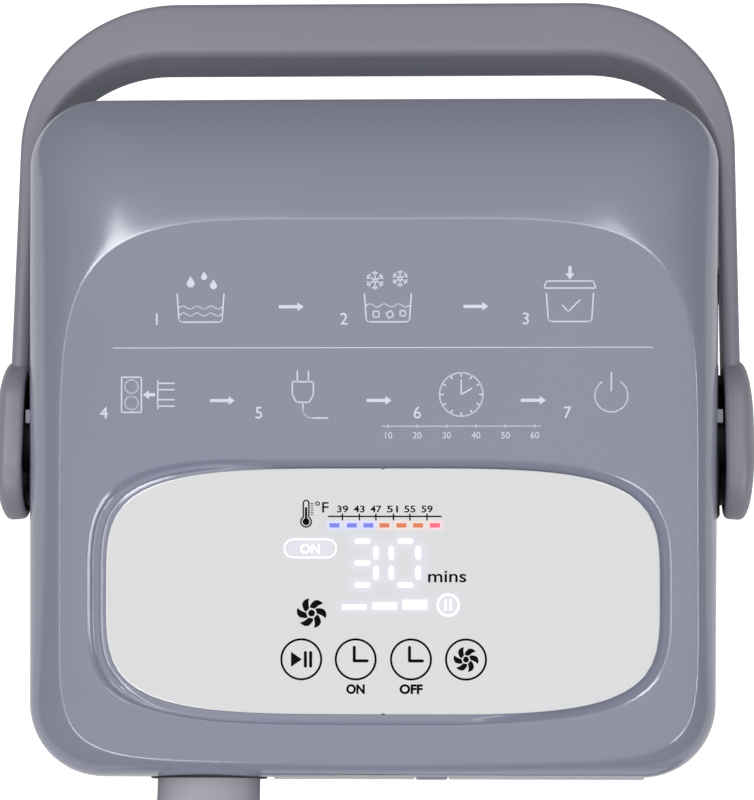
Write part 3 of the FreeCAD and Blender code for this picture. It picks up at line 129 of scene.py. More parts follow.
soft_lamp("key", (0.3, -0.6, 2.05), (1.3, 0.9), 9.2, shine=False)
soft_lamp("left", (-1.45, -0.05, 1.25), (1.6, 0.3), 4, shine=False)
soft_lamp("left_crease", (-1.07, 0.0, 1.87), (1.4, 0.2), 5.5, fill=False)
soft_lamp("right", (1.45, -0.65, 1.25), (1.8, 0.22), 19, fill=False)
soft_lamp("crease", (0.1, 0.62, 2.0), (1.5, 0.25), 4.2, fill=False)
soft_lamp("corner_left", (-0.74, 0.6, 1.92), (0.5, 0.6), 13, fill=False)
soft_lamp("corner_right", (0.5, 0.68, 1.97), (0.45, 0.38), 3.7, fill=False)
soft_lamp("front_left", (-0.7, -1.04, 1.61), (1.0, 0.4), 13, fill=False)
soft_lamp("front_right", (0.95, -1.14, 1.56), (0.4, 0.4), 4, fill=False)

# %% [markdown]
# The world lights the machine too. What the plastic mirrors is dark at the height of the horizon
# and bright overhead, so that the flanks show a dark band between two light ones. Light that falls
# on matt surfaces comes from a second, more even sky, and the camera itself sees plain white. One
# sky for all three would be simpler, but the dark band would then cost light. Both skies are colour
# ramps over the height of a direction. A few helpers make nodes here and in every finish.

# %% Helpers for nodes
def give(net, node, **sockets):
    """Sets or links a node's inputs, by name, or by number as in i0."""
    for label, value in sockets.items():
        socket = node.inputs[int(label[1:]) if label[1:].isdigit() else label.replace("_", " ")]
        if isinstance(value, bpy.types.NodeSocket):
            net.links.new(value, socket)
        else:
            socket.default_value = value
    return node


def add(net, kind, settings=None, **sockets):
    """A new node with its settings and inputs."""
    node = net.nodes.new("ShaderNode" + kind)
    for label, value in (settings or {}).items():
        setattr(node, label, value)
    return give(net, node, **sockets)


def calc(net, operation, *values):
    """What a Math node makes of values or links."""
    sockets = {"i" + str(number): value for number, value in enumerate(values)}
    return add(net, "Math", {"operation": operation}, **sockets).outputs[0]


def mixed(net, share, first, second, how="MIX"):
    """Two colours, mixed by a share."""
    settings = {"data_type": "RGBA", "blend_type": how}
    return add(net, "Mix", settings, i0=share, i6=first, i7=second).outputs[2]


print("helpers for nodes ready")

# %% World
world = bpy.data.worlds.new("studio")
scene.world = world
world.use_nodes = True
sky_net = world.node_tree
way = add(sky_net, "TexCoord").outputs["Generated"]
height = add(sky_net, "SeparateXYZ", i0=way).outputs["Z"]
lift = calc(sky_net, "MULTIPLY_ADD", height, 0.5, 0.5)
ray_kinds = add(sky_net, "LightPath").outputs


def sky_ramp(stops):
    """Brightness of the world from straight down, at 0, to straight up, at 1."""
    ramp = add(sky_net, "ValToRGB", Fac=lift)
    ramp.color_ramp.elements.remove(ramp.color_ramp.elements[1])
    ramp.color_ramp.elements[0].color = (stops[0][1], stops[0][1], stops[0][1], 1)
    for place, value in stops[1:]:
        ramp.color_ramp.elements.new(place).color = (value, value, value * 1.01, 1)
    return ramp.outputs["Color"]


shine = sky_ramp(((0.0, 0.3), (0.36, 0.2), (0.42, 0.08), (0.5, 0.06), (0.66, 0.08), (0.8, 0.35), (0.9, 0.7),
                  (0.99, 0.78), (0.998, 1.15), (1.0, 1.2)))
even = sky_ramp(((0.0, 0.3), (0.46, 0.3), (0.5, 0.45), (0.66, 0.45), (0.8, 0.42), (0.9, 0.6), (1.0, 0.85)))
lit_sky = mixed(sky_net, ray_kinds["Is Diffuse Ray"], shine, even)
seen_sky = mixed(sky_net, ray_kinds["Is Camera Ray"], lit_sky, (1, 1, 1, 1))
give(sky_net, sky_net.nodes["Background"], Color=seen_sky, Strength=1.0)
scene.view_settings.view_transform = "Standard"
print("world nodes:", len(sky_net.nodes))

# %% [markdown]
# ## Floor
# The floor is one pale matt sheet. It glows for the camera, and a little for what mirrors it, so
# that it stays even and bright round the machine and doesn't wash out the flanks. A plain white
# sheet would turn grey where no lamp faces it.

# %% Floor
def new_paint(name):
    """A new material, with its nodes and its shader."""
    paint = bpy.data.materials.new(name)
    paint.use_nodes = True
    return paint, paint.node_tree, paint.node_tree.nodes["Principled BSDF"]


bm = bmesh.new()
bmesh.ops.create_grid(bm, x_segments=1, y_segments=1, size=1)
spread_out = Matrix.Translation((-0.125, -0.3, 0)) @ Matrix.Diagonal((0.625, 0.55, 1, 1))
bmesh.ops.transform(bm, matrix=spread_out, verts=bm.verts)
floor_mesh = bpy.data.meshes.new("floor")
bm.to_mesh(floor_mesh)
bm.free()
floor = in_scene("floor", floor_mesh)
floor_paint, net, surface = new_paint("floor")
give(net, surface, Base_Color=(0.86, 0.86, 0.865, 1), Roughness=0.9, Emission_Color=(1, 1, 1, 1))
floor_rays = add(net, "LightPath").outputs
seen = calc(net, "MAXIMUM", floor_rays["Is Camera Ray"], floor_rays["Is Transmission Ray"])
bounced = calc(net, "MULTIPLY", floor_rays["Is Glossy Ray"], 0.12)
give(net, surface, Emission_Strength=calc(net, "MULTIPLY_ADD", seen, 0.66, bounced))
floor_mesh.materials.append(floor_paint)
print("floor is 1.25 m by 1.1 m")

# %% [markdown]
# ## Lofting with bmesh
# Most forms here are stacks of closed rings: the lid's flanks, the groove round the panel, the
# handle and its hubs. A loft tool in the editor would skin such rings. In code the same is done by
# extruding a ring of edges and moving the new vertices to the next ring's places, so that point
# stays joined to point and the faces never twist. A piece is then merged, smoothed and made to
# ride on its body.

# %% Rings and lofts
def mm(x, y, z):
    """A point in metres from millimetres."""
    return Vector((x / 1000, y / 1000, z / 1000))


def ring_edges(bm, ring):
    """The edges of a closed ring of vertices."""
    return [bm.edges.get((ring[i - 1], ring[i])) for i in range(len(ring))]


def next_ring(bm, ring, places):
    """Extrudes a closed ring of vertices and moves the new ones to their places."""
    made = bmesh.ops.extrude_edge_only(bm, edges=ring_edges(bm, ring))["geom"]
    fresh = {item for item in made if isinstance(item, bmesh.types.BMVert)}
    twin = {}
    for vertex in fresh:
        for edge in vertex.link_edges:
            if edge.other_vert(vertex) not in fresh:
                twin[edge.other_vert(vertex)] = vertex
    grown = [twin[vertex] for vertex in ring]
    for vertex, place in zip(grown, places):
        vertex.co = place
    return grown


def loft(rings, close=False, first_cap=False, last_cap=False):
    """A bmesh skin over rings of points that have the same count."""
    bm = bmesh.new()
    first = bmesh.ops.create_circle(bm, segments=len(rings[0]), radius=1)["verts"]
    for vertex, place in zip(first, rings[0]):
        vertex.co = place
    ring = first
    for places in rings[1:]:
        ring = next_ring(bm, ring, places)
    if close:
        next_ring(bm, ring, rings[0])
    for end, capped in ((first, first_cap), (ring, last_cap)):
        if capped:
            bmesh.ops.contextual_create(bm, geom=ring_edges(bm, end))
    return bm


print("loft ready")

# %% Finished pieces
SHARP_ANGLE = 35


def finished(name, bm, body, sharp=SHARP_ANGLE):
    """Turns a bmesh into a smooth piece that rides on a body."""
    bmesh.ops.remove_doubles(bm, verts=bm.verts, dist=2e-6)
    bmesh.ops.recalc_face_normals(bm, faces=bm.faces)
    mesh = bpy.data.meshes.new(name)
    bm.to_mesh(mesh)
    bm.free()
    mesh.shade_smooth()
    mesh.set_sharp_from_angle(angle=math.radians(sharp))
    piece = in_scene(name, mesh)
    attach(piece, body)
    return piece


def take_in(bm, form):
    """Adds a form to a larger one."""
    shape = bpy.data.meshes.new("form")
    form.to_mesh(shape)
    form.free()
    bm.from_mesh(shape)
    bpy.data.meshes.remove(shape)


print("edges sharper than", SHARP_ANGLE, "degrees stay crisp")

# %% [markdown]
# Small blocks are cubes with bevelled edges. Openings and notches are cut with a Boolean modifier,
# whose result is taken over at once, so that no live modifier is left on the piece. A plane could
# trim a straight edge more cleanly, but not a round hole.

# %% Blocks, bars and cuts
def box_form(bm, low, high, round_by, segments=3):
    """A block between two corners in millimetres, with its edges rounded."""
    made = bmesh.ops.create_cube(bm, size=1)["verts"]
    low, high = Vector(low) / 1000, Vector(high) / 1000
    bmesh.ops.scale(bm, vec=high - low, verts=made)
    bmesh.ops.translate(bm, vec=(low + high) / 2, verts=made)
    edges = list({edge for vertex in made for edge in vertex.link_edges})
    bmesh.ops.bevel(bm, geom=edges, offset=round_by / 1000, segments=segments, profile=0.5,
                    affect="EDGES", material=-1)


def rod_form(start, end, radius, segments):
    """A round bar between two points in millimetres."""
    start, end = Vector(start) / 1000, Vector(end) / 1000
    turn = (end - start).to_track_quat("Z", "Y").to_matrix().to_4x4()
    bm = bmesh.new()
    bmesh.ops.create_cone(bm, cap_ends=True, segments=segments, radius1=radius / 1000, radius2=radius / 1000,
                          depth=(end - start).length, matrix=Matrix.Translation((start + end) / 2) @ turn)
    return bm


def cut(piece, cutter_form):
    """Takes a form out of a piece."""
    tool_mesh = bpy.data.meshes.new("cutter")
    cutter_form.to_mesh(tool_mesh)
    cutter_form.free()
    tool = in_scene("cutter", tool_mesh)
    step = piece.modifiers.new("cut", "BOOLEAN")
    step.operation = "DIFFERENCE"
    step.solver = "EXACT"
    step.object = tool
    seen = bpy.context.evaluated_depsgraph_get()
    shaped = bpy.data.meshes.new_from_object(piece.evaluated_get(seen))
    piece.modifiers.remove(step)
    piece.data = shaped
    bpy.data.objects.remove(tool)
    shaped.set_sharp_from_angle(angle=math.radians(SHARP_ANGLE))


print("blocks, bars and cuts ready")

# %% [markdown]
# ## Hose
# A soft insulated hose leaves the front of the lid, falls to the floor and lies there in one loop,
# as tight as a hose this thick can be wound for storage. It is a fixed length of cloth-covered foam
# round two water tubes. Its line is one smooth NURBS curve through a few route points. A bevel on
# the curve gives a round tube, and small folds are then pushed in along it, as real foam creases.
# A plain tube would keep its length as well, but it would look like pipe.

# %% The hose's line
HOSE_X, HOSE_Z = -57, 194
HOSE_RADIUS = 0.01825
LYING = 18.4
HOSE_ROUTE = (
    (HOSE_X, -103, HOSE_Z), (HOSE_X, -186, HOSE_Z), (-89, -280, 155), (-114, -334, 65), (-117, -413, LYING),
    (-113, -511, LYING), (-52, -595, LYING), (54, -632, LYING), (168, -598, LYING), (246, -497, LYING),
    (253, -362, LYING), (196, -243, LYING), (85, -189, LYING), (4, -189, LYING))
hose_curve = bpy.data.curves.new("hose_line", "CURVE")
hose_curve.dimensions = "3D"
line = hose_curve.splines.new("NURBS")
line.points.add(len(HOSE_ROUTE) - 1)
for point, place in zip(line.points, HOSE_ROUTE):
    point.co = (*mm(*place), 1)
line.order_u = 3
line.use_endpoint_u = True
line.resolution_u = 36
guide = in_scene("hose_line", hose_curve)
bare = bpy.data.meshes.new_from_object(guide)
hose_path = [vertex.co.copy() for vertex in bare.vertices]
lengths = [0.0]
for place, following in zip(hose_path, hose_path[1:]):
    lengths.append(lengths[-1] + (following - place).length)
print("hose:", round(lengths[-1] * 1000), "mm long in", len(hose_path), "points")

# %% The hose's skin
FOLD_ROOM = 0.0003
hose_curve.bevel_depth = HOSE_RADIUS - FOLD_ROOM
hose_curve.bevel_resolution = 14
hose_curve.use_fill_caps = True
skin = bpy.data.meshes.new_from_object(guide)
bpy.data.objects.remove(guide)
skin.name = "hose"
print("hose skin:", len(skin.vertices), "points")

# %% [markdown]
# Each point of the skin needs two measures for the folds and, later, for the cloth: how far along
# the hose it lies, and at what angle round it, counted from the top. They come from the nearest
# point of the line and are kept on the mesh. Two noises in these measures then push the skin in
# and out. They fade at both ends, where collar and connector hold the hose round.

# %% Depth of the folds
def nearest(place, choices):
    """Index of the nearest point of the line."""
    return min(choices, key=lambda i: (hose_path[i] - place).length_squared)


def fold_depth(s, angle):
    """How far the skin stands out, in millimetres, at a length and an angle."""
    twist = angle + s * 0.008
    soft = noise.noise(Vector((s * 0.035, math.cos(angle) * 0.9, math.sin(angle) * 0.9)))
    crease = noise.noise(Vector((s * 0.11 + 40, math.cos(twist) * 1.6, math.sin(twist) * 1.6)))
    fold = 0.32 * soft - 0.95 * max(crease - 0.1, 0.0) ** 1.5
    past_start = min(1.0, max(0.0, (s - 6) / 20))
    before_end = min(1.0, max(0.0, (lengths[-1] * 1000 - s - 4) / 20))
    return fold * (past_start * before_end)


print("fold at 0.5 m, on top:", round(fold_depth(500, 0.0), 3), "mm")

# %% Folds in the hose
LOOK_ROUND = 12
last_point = len(hose_path) - 1
along = skin.attributes.new("along", "FLOAT", "POINT")
round_it = skin.attributes.new("round", "FLOAT", "POINT")
here = 0
for vertex in skin.vertices:
    if (hose_path[here] - vertex.co).length > 2 * HOSE_RADIUS:
        here = nearest(vertex.co, range(len(hose_path)))
    here = nearest(vertex.co, range(max(here - LOOK_ROUND, 0), min(here + LOOK_ROUND, last_point) + 1))
    ahead = (hose_path[min(here + 1, last_point)] - hose_path[max(here - 1, 0)]).normalized()
    out = vertex.co - hose_path[here]
    out -= ahead * out.dot(ahead)
    reach = out.length
    if reach < 0.5 * HOSE_RADIUS:
        continue
    out /= reach
    level = ahead.cross(Vector((0, 0, 1)))
    level = level.normalized() if level.length > 0.01 else Vector((1, 0, 0))
    angle = math.atan2(out.dot(level), out.dot(level.cross(ahead)))
    along.data[vertex.index].value = lengths[here]
    round_it.data[vertex.index].value = angle
    vertex.co += out * fold_depth(lengths[here] * 1000, angle) / 1000
skin.shade_smooth()
hose = in_scene("hose", skin)
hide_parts("hose_jacket")
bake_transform(hose)
print("folds end at", round(max(item.value for item in along.data), 3), "m")

# %% [markdown]
# The latch on the hose's far end presses two millimetres down on a little coil spring. The spring is made
# again here as one piece. A curve with a bevel would draw the same wire. Here a circle is spun upwards round
# the coil's axis, which leaves two open ends that are simple to close.

# %% Spring under the latch
WIRE_RADIUS, COIL_RADIUS = 0.00035, 0.003
COIL_TURNS, COIL_STEPS = 4, 160
low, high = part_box("latch_spring")
coil_foot = Vector(((low[0] + high[0]) / 2, (low[1] + high[1]) / 2, low[2]))
coil_height = high[2] - low[2] - 2 * WIRE_RADIUS
bm = bmesh.new()
start = Matrix.Translation(coil_foot + Vector((COIL_RADIUS, 0, WIRE_RADIUS)))
bmesh.ops.create_circle(bm, segments=10, radius=WIRE_RADIUS,
                        matrix=start @ Matrix.Rotation(math.radians(90), 4, "X"))
bmesh.ops.spin(bm, geom=bm.verts[:] + bm.edges[:], cent=coil_foot, axis=(0, 0, 1),
               angle=2 * math.pi * COIL_TURNS, dvec=(0, 0, coil_height / COIL_STEPS), steps=COIL_STEPS,
               use_duplicate=False)
bmesh.ops.holes_fill(bm, edges=[edge for edge in bm.edges if edge.is_boundary], sides=0)
latch_coil = finished("latch_coil", bm, "tank")
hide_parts("latch_spring")
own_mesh(latch_coil)
print("coil faces:", len(latch_coil.data.polygons), "height:", round(latch_coil.dimensions.z * 1000, 2), "mm")

# %% Size of the hose
print("hose faces:", len(skin.polygons))

# %% [markdown]
# ## Lid
# The lid is a rounded tub turned upside down, with a flat face cut slanting across its top. The
# edge between that face and the rolled flanks is the line that catches the light, so it has to be
# one clean curve. Booleans of a rounded box and a plane would give it, but with ragged faces. Here
# the outline on the ground and the outline of the sloping face are two rings, and each point is
# carried from one to the other along a curve that starts upright and arrives almost flat.

# %% The lid's outline
HALF_WIDTH, HALF_DEPTH, SIDE_TAPER = 119.9, 118.8, math.radians(0.83)
FRONT_CORNER, REAR_CORNER = 25.5, 24.0
PER_CORNER, PER_SIDE = 26, 34


def outline(inset):
    """Points round the machine's plan outline in millimetres, moved inwards by inset."""
    corners = []
    for front, nominal in ((True, FRONT_CORNER), (False, REAR_CORNER)):
        radius = max(nominal - inset, 2.0)
        y = inset + radius - HALF_DEPTH if front else HALF_DEPTH - inset - radius
        lean = math.sin(SIDE_TAPER)
        x = (HALF_WIDTH * math.cos(SIDE_TAPER) - inset - radius + y * lean) / math.cos(SIDE_TAPER)
        corners.append((x, y, radius))
    (fx, fy, fr), (rx, ry, rr) = corners
    flat = math.pi / 2
    arcs = ((fx, fy, fr, -flat, -SIDE_TAPER), (rx, ry, rr, -SIDE_TAPER, flat),
            (-rx, ry, rr, flat, 2 * flat + SIDE_TAPER), (-fx, fy, fr, 2 * flat + SIDE_TAPER, 3 * flat))
    rounded = []
    for x, y, radius, first, last in arcs:
        angles = [first + (last - first) * step / (PER_CORNER - 1) for step in range(PER_CORNER)]
        rounded.append([Vector((x + radius * math.cos(a), y + radius * math.sin(a), 0)) for a in angles])
    points = []
    for number, corner in enumerate(rounded):
        goal = rounded[(number + 1) % 4][0]
        points += corner + [corner[-1].lerp(goal, step / PER_SIDE) for step in range(1, PER_SIDE)]
    return points


print("outline points:", len(outline(0)))

# %% The lid's flanks
BASE_TOP_Z, SHOULDER_Z, FRONT_EDGE_Z = 200.4, 205.0, 224
SLOPE = math.radians(5.5)
CREST = Vector((2.5, -40.0, 0))
REACH_REAR, REACH_FRONT, REACH_SIDE = 109.8, 74.0, 108.8
POWER_REAR, POWER_FRONT = 5.2, 7.5
LEVELS = [step / 22 for step in range(23)]


def facet_z(y):
    """Height of the sloping face."""
    return FRONT_EDGE_Z + (y + HALF_DEPTH) * math.tan(SLOPE)


def flank_rings(inset, levels):
    """Rings from the upright side, at the first level, to the edge of the sloping face."""
    rings = [[] for level in levels]
    for base in outline(inset):
        ray = (base - CREST).normalized()
        behind = ray.y > 0
        reach, power = (REACH_REAR, POWER_REAR) if behind else (REACH_FRONT, POWER_FRONT)
        across = abs(ray.x) / (REACH_SIDE - inset / 2)
        along = abs(ray.y) / (reach - inset / 2)
        edge = CREST + ray * (across ** power + along ** power) ** (-1 / power)
        edge.z = facet_z(edge.y) - inset / math.cos(SLOPE)
        rise = edge.z - SHOULDER_Z
        run = Vector((edge.x - base.x, edge.y - base.y, 0))
        side, back, front = ray.x ** 2, ray.y ** 2 * behind, ray.y ** 2 * (not behind)
        upright = side * 0.40 + back * 0.60 + front * 0.72
        flat = side * 0.35 + back * 0.40 + front * 0.20
        arrival = side * 0.88 + back * 0.14 + front * math.tan(SLOPE) - 1.1 * side * back
        late = 1 - arrival * (1 - flat) * run.length / rise
        for ring, t in zip(rings, levels):
            inwards = 3 * t * t * (1 - t) * flat + t ** 3
            upwards = 3 * t * (1 - t) ** 2 * upright + 3 * t * t * (1 - t) * late + t ** 3
            ring.append((base + run * inwards + Vector((0, 0, SHOULDER_Z + rise * upwards))) / 1000)
    return rings


print("rings of the flanks:", len(flank_rings(0, LEVELS)))

# %% [markdown]
# The panel sits in a shallow groove whose plan is a superellipse. At the left the groove has a
# crisp outer lip, a floor, and a narrow rim that frames the panel. Along the front the rim is wide
# and ends in one fine line. At the right and at the back the face just rolls down to the panel. So
# there are three profiles with as many points, and each direction round the panel takes its own
# share of them. The rings are drawn in the plane of the sloping face and then tilted with it.

# %% The panel's place on the sloping face
PANEL_MIDDLE = Vector((4.2, -56.5, facet_z(-56.5)))
TILT = Matrix.Rotation(SLOPE, 4, "X")
ON_FACET = Matrix.Translation(PANEL_MIDDLE / 1000) @ TILT
PANEL_X, PANEL_Y, PANEL_POWER = 94.4, 41.9, 4.1


def panel_ring(grow_x, grow_y, z):
    """The panel's outline, grown, at a height over the sloping face."""
    places = []
    for base in outline(0):
        ray = (base - CREST).normalized()
        half_x, half_y = PANEL_X + grow_x, PANEL_Y + grow_y
        across, along = (abs(ray.x) / half_x) ** PANEL_POWER, (abs(ray.y) / half_y) ** PANEL_POWER
        reach = (across + along) ** (-1 / PANEL_POWER)
        places.append(ON_FACET @ mm(ray.x * reach, ray.y * reach, z))
    return places


print("panel:", 2 * PANEL_X, "mm by", 2 * PANEL_Y, "mm")

# %% The groove's three profiles
LIPPED = ((1.2, 0.0), (1.17, -0.02), (1.15, -0.06), (1.1, -0.232), (1.05, -0.404), (1.0, -0.576),
          (0.96, -0.714), (0.92, -0.95), (0.86, -1.42), (0.79, -1.84), (0.68, -2.06), (0.55, -2.14),
          (0.43, -2.05), (0.385, -1.7), (0.355, -1.38), (0.335, -1.2), (0.16, -0.93), (0.005, -0.89))
FRAMED = ((1.06, 0.0), (1.0, -0.001), (0.95, -0.005), (0.9, -0.02), (0.86, -0.06), (0.82, -0.14),
          (0.79, -0.28), (0.76, -0.5), (0.73, -0.72), (0.7, -0.85), (0.66, -0.9), (0.62, -0.82),
          (0.58, -0.68), (0.53, -0.6), (0.47, -0.58), (0.35, -0.58), (0.1, -0.58), (0.005, -0.6))
ROLLED = ((1.2, 0.0), (0.98, -0.001), (0.76, -0.002), (0.74, -0.02), (0.72, -0.055), (0.68, -0.13),
          (0.64, -0.205), (0.6, -0.28), (0.56, -0.42), (0.5, -0.68), (0.43, -1.0), (0.36, -1.34),
          (0.28, -1.74), (0.2, -2.15), (0.12, -2.52), (0.06, -2.72), (0.03, -2.8), (0.005, -2.85))
GROOVE_X, GROOVE_Y = 5.6, 4.2


def between(value, low, high):
    """Rises softly from 0 at low to 1 at high."""
    part = min(max((value - low) / (high - low), 0.0), 1.0)
    return part * part * (3 - 2 * part)


def groove_ring(*profile_points):
    """One ring of the groove, mixed from the three profiles by direction."""
    rings = [panel_ring(GROOVE_X * grow, GROOVE_Y * grow, z) for grow, z in profile_points]
    places = []
    for base, lipped, framed, rolled in zip(outline(0), *rings):
        ray = (base - CREST).normalized()
        left = between(-ray.x, 0.6, 0.92) if ray.y > 0 else between(-ray.x, 0.87, 0.965)
        front = between(-ray.y, 0.0, 0.3) * between(-ray.x, -0.85, -0.45) * (1 - left)
        places.append(lipped * left + framed * front + rolled * (1 - left - front))
    return places


groove_rings = [groove_ring(*points) for points in zip(LIPPED, FRAMED, ROLLED)]
seat_rings = [panel_ring(0.03, 0.03, -3.0), panel_ring(-6, -6, -3.0), panel_ring(-6, -6, -6.2)]
print("groove rings:", len(groove_rings))

# %% Lid shell
LID_WALL = 2.6


def flat_ring(inset, z):
    """The lid's outline at one height."""
    return [(p + Vector((0, 0, z))) / 1000 for p in outline(inset)]


def spot(place):
    """A place that two nearly equal points share."""
    return tuple(round(c, 6) for c in place)


outside = [flat_ring(0.35, BASE_TOP_Z), flat_ring(0.1, BASE_TOP_Z + 0.12), flat_ring(0.0, BASE_TOP_Z + 0.4)]
outside += flank_rings(0, LEVELS)
inside = list(reversed(flank_rings(LID_WALL, LEVELS[::2])))
inside.append(flat_ring(LID_WALL, BASE_TOP_Z))
bm = loft(outside + groove_rings + seat_rings + inside, close=True)
crest_spots = {spot(place) for place in outside[-1]}
crest_edges = [edge for edge in bm.edges if all(spot(v.co) in crest_spots for v in edge.verts)]
bmesh.ops.bevel(bm, geom=crest_edges, offset=0.0007, segments=3, profile=0.5, affect="EDGES", material=-1)
lid_shell = finished("lid_shell", bm, "lid")
print("lid shell faces:", len(lid_shell.data.polygons), "softened edges:", len(crest_edges))

# %% Cuts for the hose and the power socket
cut(lid_shell, rod_form((HOSE_X, -140, HOSE_Z), (HOSE_X, -99, HOSE_Z), 20.7, 96))
cut(lid_shell, rod_form((113, 52, 207.6), (130, 52, 207.6), 6.9, 64))
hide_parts("lid_cover")
print("after the cuts:", len(lid_shell.data.polygons))

# %% [markdown]
# A small tab at the front edge is for the finger that lifts the lid, beside a pale lip where the
# lid's floor shows. A rubber ring fills the opening round the hose. It is lofted from circles,
# because a plain torus has no flat faces to seal with.

# %% Front tab and hose ring
bm = bmesh.new()
box_form(bm, (15.1, -119.6, 195.0), (26.1, -117.9, 203.6), 0.75, 5)
lid_tab = finished("lid_tab", bm, "lid")
bm = bmesh.new()
box_form(bm, (-34, -119.5, 198.15), (14.6, -117.5, 200.3), 0.35)
box_form(bm, (26.6, -119.5, 198.15), (94, -117.5, 200.3), 0.35)
base_lip = finished("base_lip", bm, "lid")


def hose_circle(radius, y):
    """A circle round the hose where it leaves the lid."""
    turns = [2 * math.pi * step / 96 for step in range(96)]
    return [mm(HOSE_X + radius * math.cos(t), y, HOSE_Z + radius * math.sin(t)) for t in turns]


RING_SECTION = ((18.4, -103.2), (20.3, -103.2), (20.3, -118.9), (20.0, -119.3), (18.8, -119.3),
                (18.4, -118.9))
hose_ring = finished("hose_ring", loft([hose_circle(r, y) for r, y in RING_SECTION], close=True), "lid")
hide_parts("hose_collar")
print("tab:", len(lid_tab.data.polygons), "ring:", len(hose_ring.data.polygons), "faces")

# %% [markdown]
# ## Carrying handle
# The handle is a flat arm that widens into a broad crossbar, bent in one sweep. A path with a
# bevelled section could not change its thickness like that. Here rounded rectangles are set
# across the handle from its inner line to its outer line, one after the other, and lofted. The
# handle is drawn upright and then folded back over the rear of the machine.

# %% Handle sections
PIVOT_Z, REACH = 188.0, 163.9
CORNER_POINTS = 9
HINGE = mm(0, 0, PIVOT_Z)
FOLD = Matrix.Translation(HINGE) @ Matrix.Rotation(math.radians(-100), 4, "X") @ Matrix.Translation(-HINGE)


def section(inner, outer, depth, edge):
    """A rounded rectangle between two points of the handle's plane, in millimetres."""
    middle, half = (inner + outer) / 2, (outer - inner).length / 2
    across = (outer - inner).normalized()
    round_by = min(edge, half - 0.15)
    points = []
    for number, (su, sy) in enumerate(((1, 1), (-1, 1), (-1, -1), (1, -1))):
        for step in range(CORNER_POINTS):
            angle = math.radians(90 * number + 90 * step / (CORNER_POINTS - 1))
            u = su * (half - round_by) + round_by * math.cos(angle)
            y = sy * (depth / 2 - round_by) + round_by * math.sin(angle)
            points.append(FOLD @ ((middle + across * u + Vector((0, y, 0))) / 1000))
    return points


print("points in a section:", len(section(Vector((0, 0, 0)), Vector((20, 0, 0)), 20, 3)))

# %% Handle
OUTER_X, INNER_X, OUTER_BEND, INNER_BEND = 129.0, 123.1, 56.0, 46.0
CROSSBAR, ARM_DEPTH, ARM_EDGE = 21, 23.2, 3.1


def pair(inner_x, inner_z, outer_x, outer_z):
    """Two facing points on the handle's inner and outer line."""
    return Vector((inner_x, 0, inner_z)), Vector((outer_x, 0, outer_z))


def bail_stations():
    """Pairs of points from the left hub to the right."""
    start, top = PIVOT_Z + 23, PIVOT_Z + REACH
    under = top - CROSSBAR
    half = []
    for step in range(12):
        share = step / 11
        half.append(pair(INNER_X, start + share * (under - INNER_BEND - start),
                         OUTER_X, start + share * (top - OUTER_BEND - start)))
    for step in range(1, 25):
        angle = math.radians(90 * step / 24)
        sideways, upwards = 1 - math.cos(angle), 1 - math.sin(angle)
        half.append(pair(INNER_X - INNER_BEND * sideways, under - INNER_BEND * upwards,
                         OUTER_X - OUTER_BEND * sideways, top - OUTER_BEND * upwards))
    for step in range(1, 7):
        rest = 1 - step / 6
        half.append(pair((INNER_X - INNER_BEND) * rest, under, (OUTER_X - OUTER_BEND) * rest, top))
    return half + [pair(-a.x, a.z, -b.x, b.z) for a, b in reversed(half[:-1])]


stations = [section(a, b, ARM_DEPTH, ARM_EDGE) for a, b in bail_stations()]
handle = finished("handle", loft(stations, first_cap=True, last_cap=True), "handle")
print("handle stations:", len(stations), "faces:", len(handle.data.polygons))

# %% [markdown]
# Each end of the handle is a long oval hub with a domed cap. The dome follows a superellipse, which
# stays flat in the middle and turns down quickly at the rim, as a moulded cap does. A hairline near
# the machine's side marks where the cap meets the hub, and the hub's inner face is hollowed.

# %% Rings of a hub
END_POINTS = 40


def stadium(share, x, side):
    """A ring of the hub's outline, shrunk to a share of its size."""
    points = []
    for end in (1, -1):
        for step in range(END_POINTS):
            angle = math.pi * step / (END_POINTS - 1) + (0 if end > 0 else math.pi)
            points.append(FOLD @ mm(side * x, 18 * share * math.cos(angle),
                                    PIVOT_Z + share * (end * 10.5 + 18 * math.sin(angle))))
    return points


def dome(share_of_quarter):
    """Share of the outline and height of the dome at a place between rim and top."""
    angle = math.radians(90 * share_of_quarter)
    return max(math.cos(angle), 0.0) ** (2 / 2.4), math.sin(angle) ** (2 / 2.4)


def both_sides(profile):
    """The same stack of rings on the right and on the left, as one form."""
    bm = bmesh.new()
    for side in (1, -1):
        take_in(bm, loft([stadium(s, x, side) for s, x in profile], first_cap=True, last_cap=True))
    return bm


print("points in a hub ring:", len(stadium(1, 0, 1)))

# %% Hubs and their caps
HUB_FOOT, HUB_SPLIT, HUB_EDGE, HUB_TOP = 122.9, 125.7, 128.2, 133.8
hub_profile = [(0.84, 124.7), (0.87, 124.6), (0.88, HUB_FOOT + 0.1), (0.90, HUB_FOOT),
               (0.935, HUB_FOOT + 0.1), (0.962, HUB_FOOT + 0.4), (0.98, HUB_FOOT + 1.0),
               (0.989, HUB_FOOT + 1.9), (0.993, HUB_SPLIT)]
hub_bodies = finished("hub_bodies", both_sides(hub_profile), "handle")
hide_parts("handle_bail")

cap_profile = [(0.993, HUB_SPLIT + 0.03), (0.995, HUB_SPLIT + 1.0), (0.997, HUB_EDGE - 0.7),
               (0.998, HUB_EDGE)]
for step in range(2, 24):
    share, height = dome(step / 24)
    cap_profile.append((share * 0.998, HUB_EDGE + (HUB_TOP - HUB_EDGE) * height))
cap_profile.append((0.02, HUB_TOP))
hub_tops = finished("hub_tops", both_sides(cap_profile), "handle")
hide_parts("hub_caps")
print("hubs:", len(hub_bodies.data.polygons), "caps:", len(hub_tops.data.polygons))
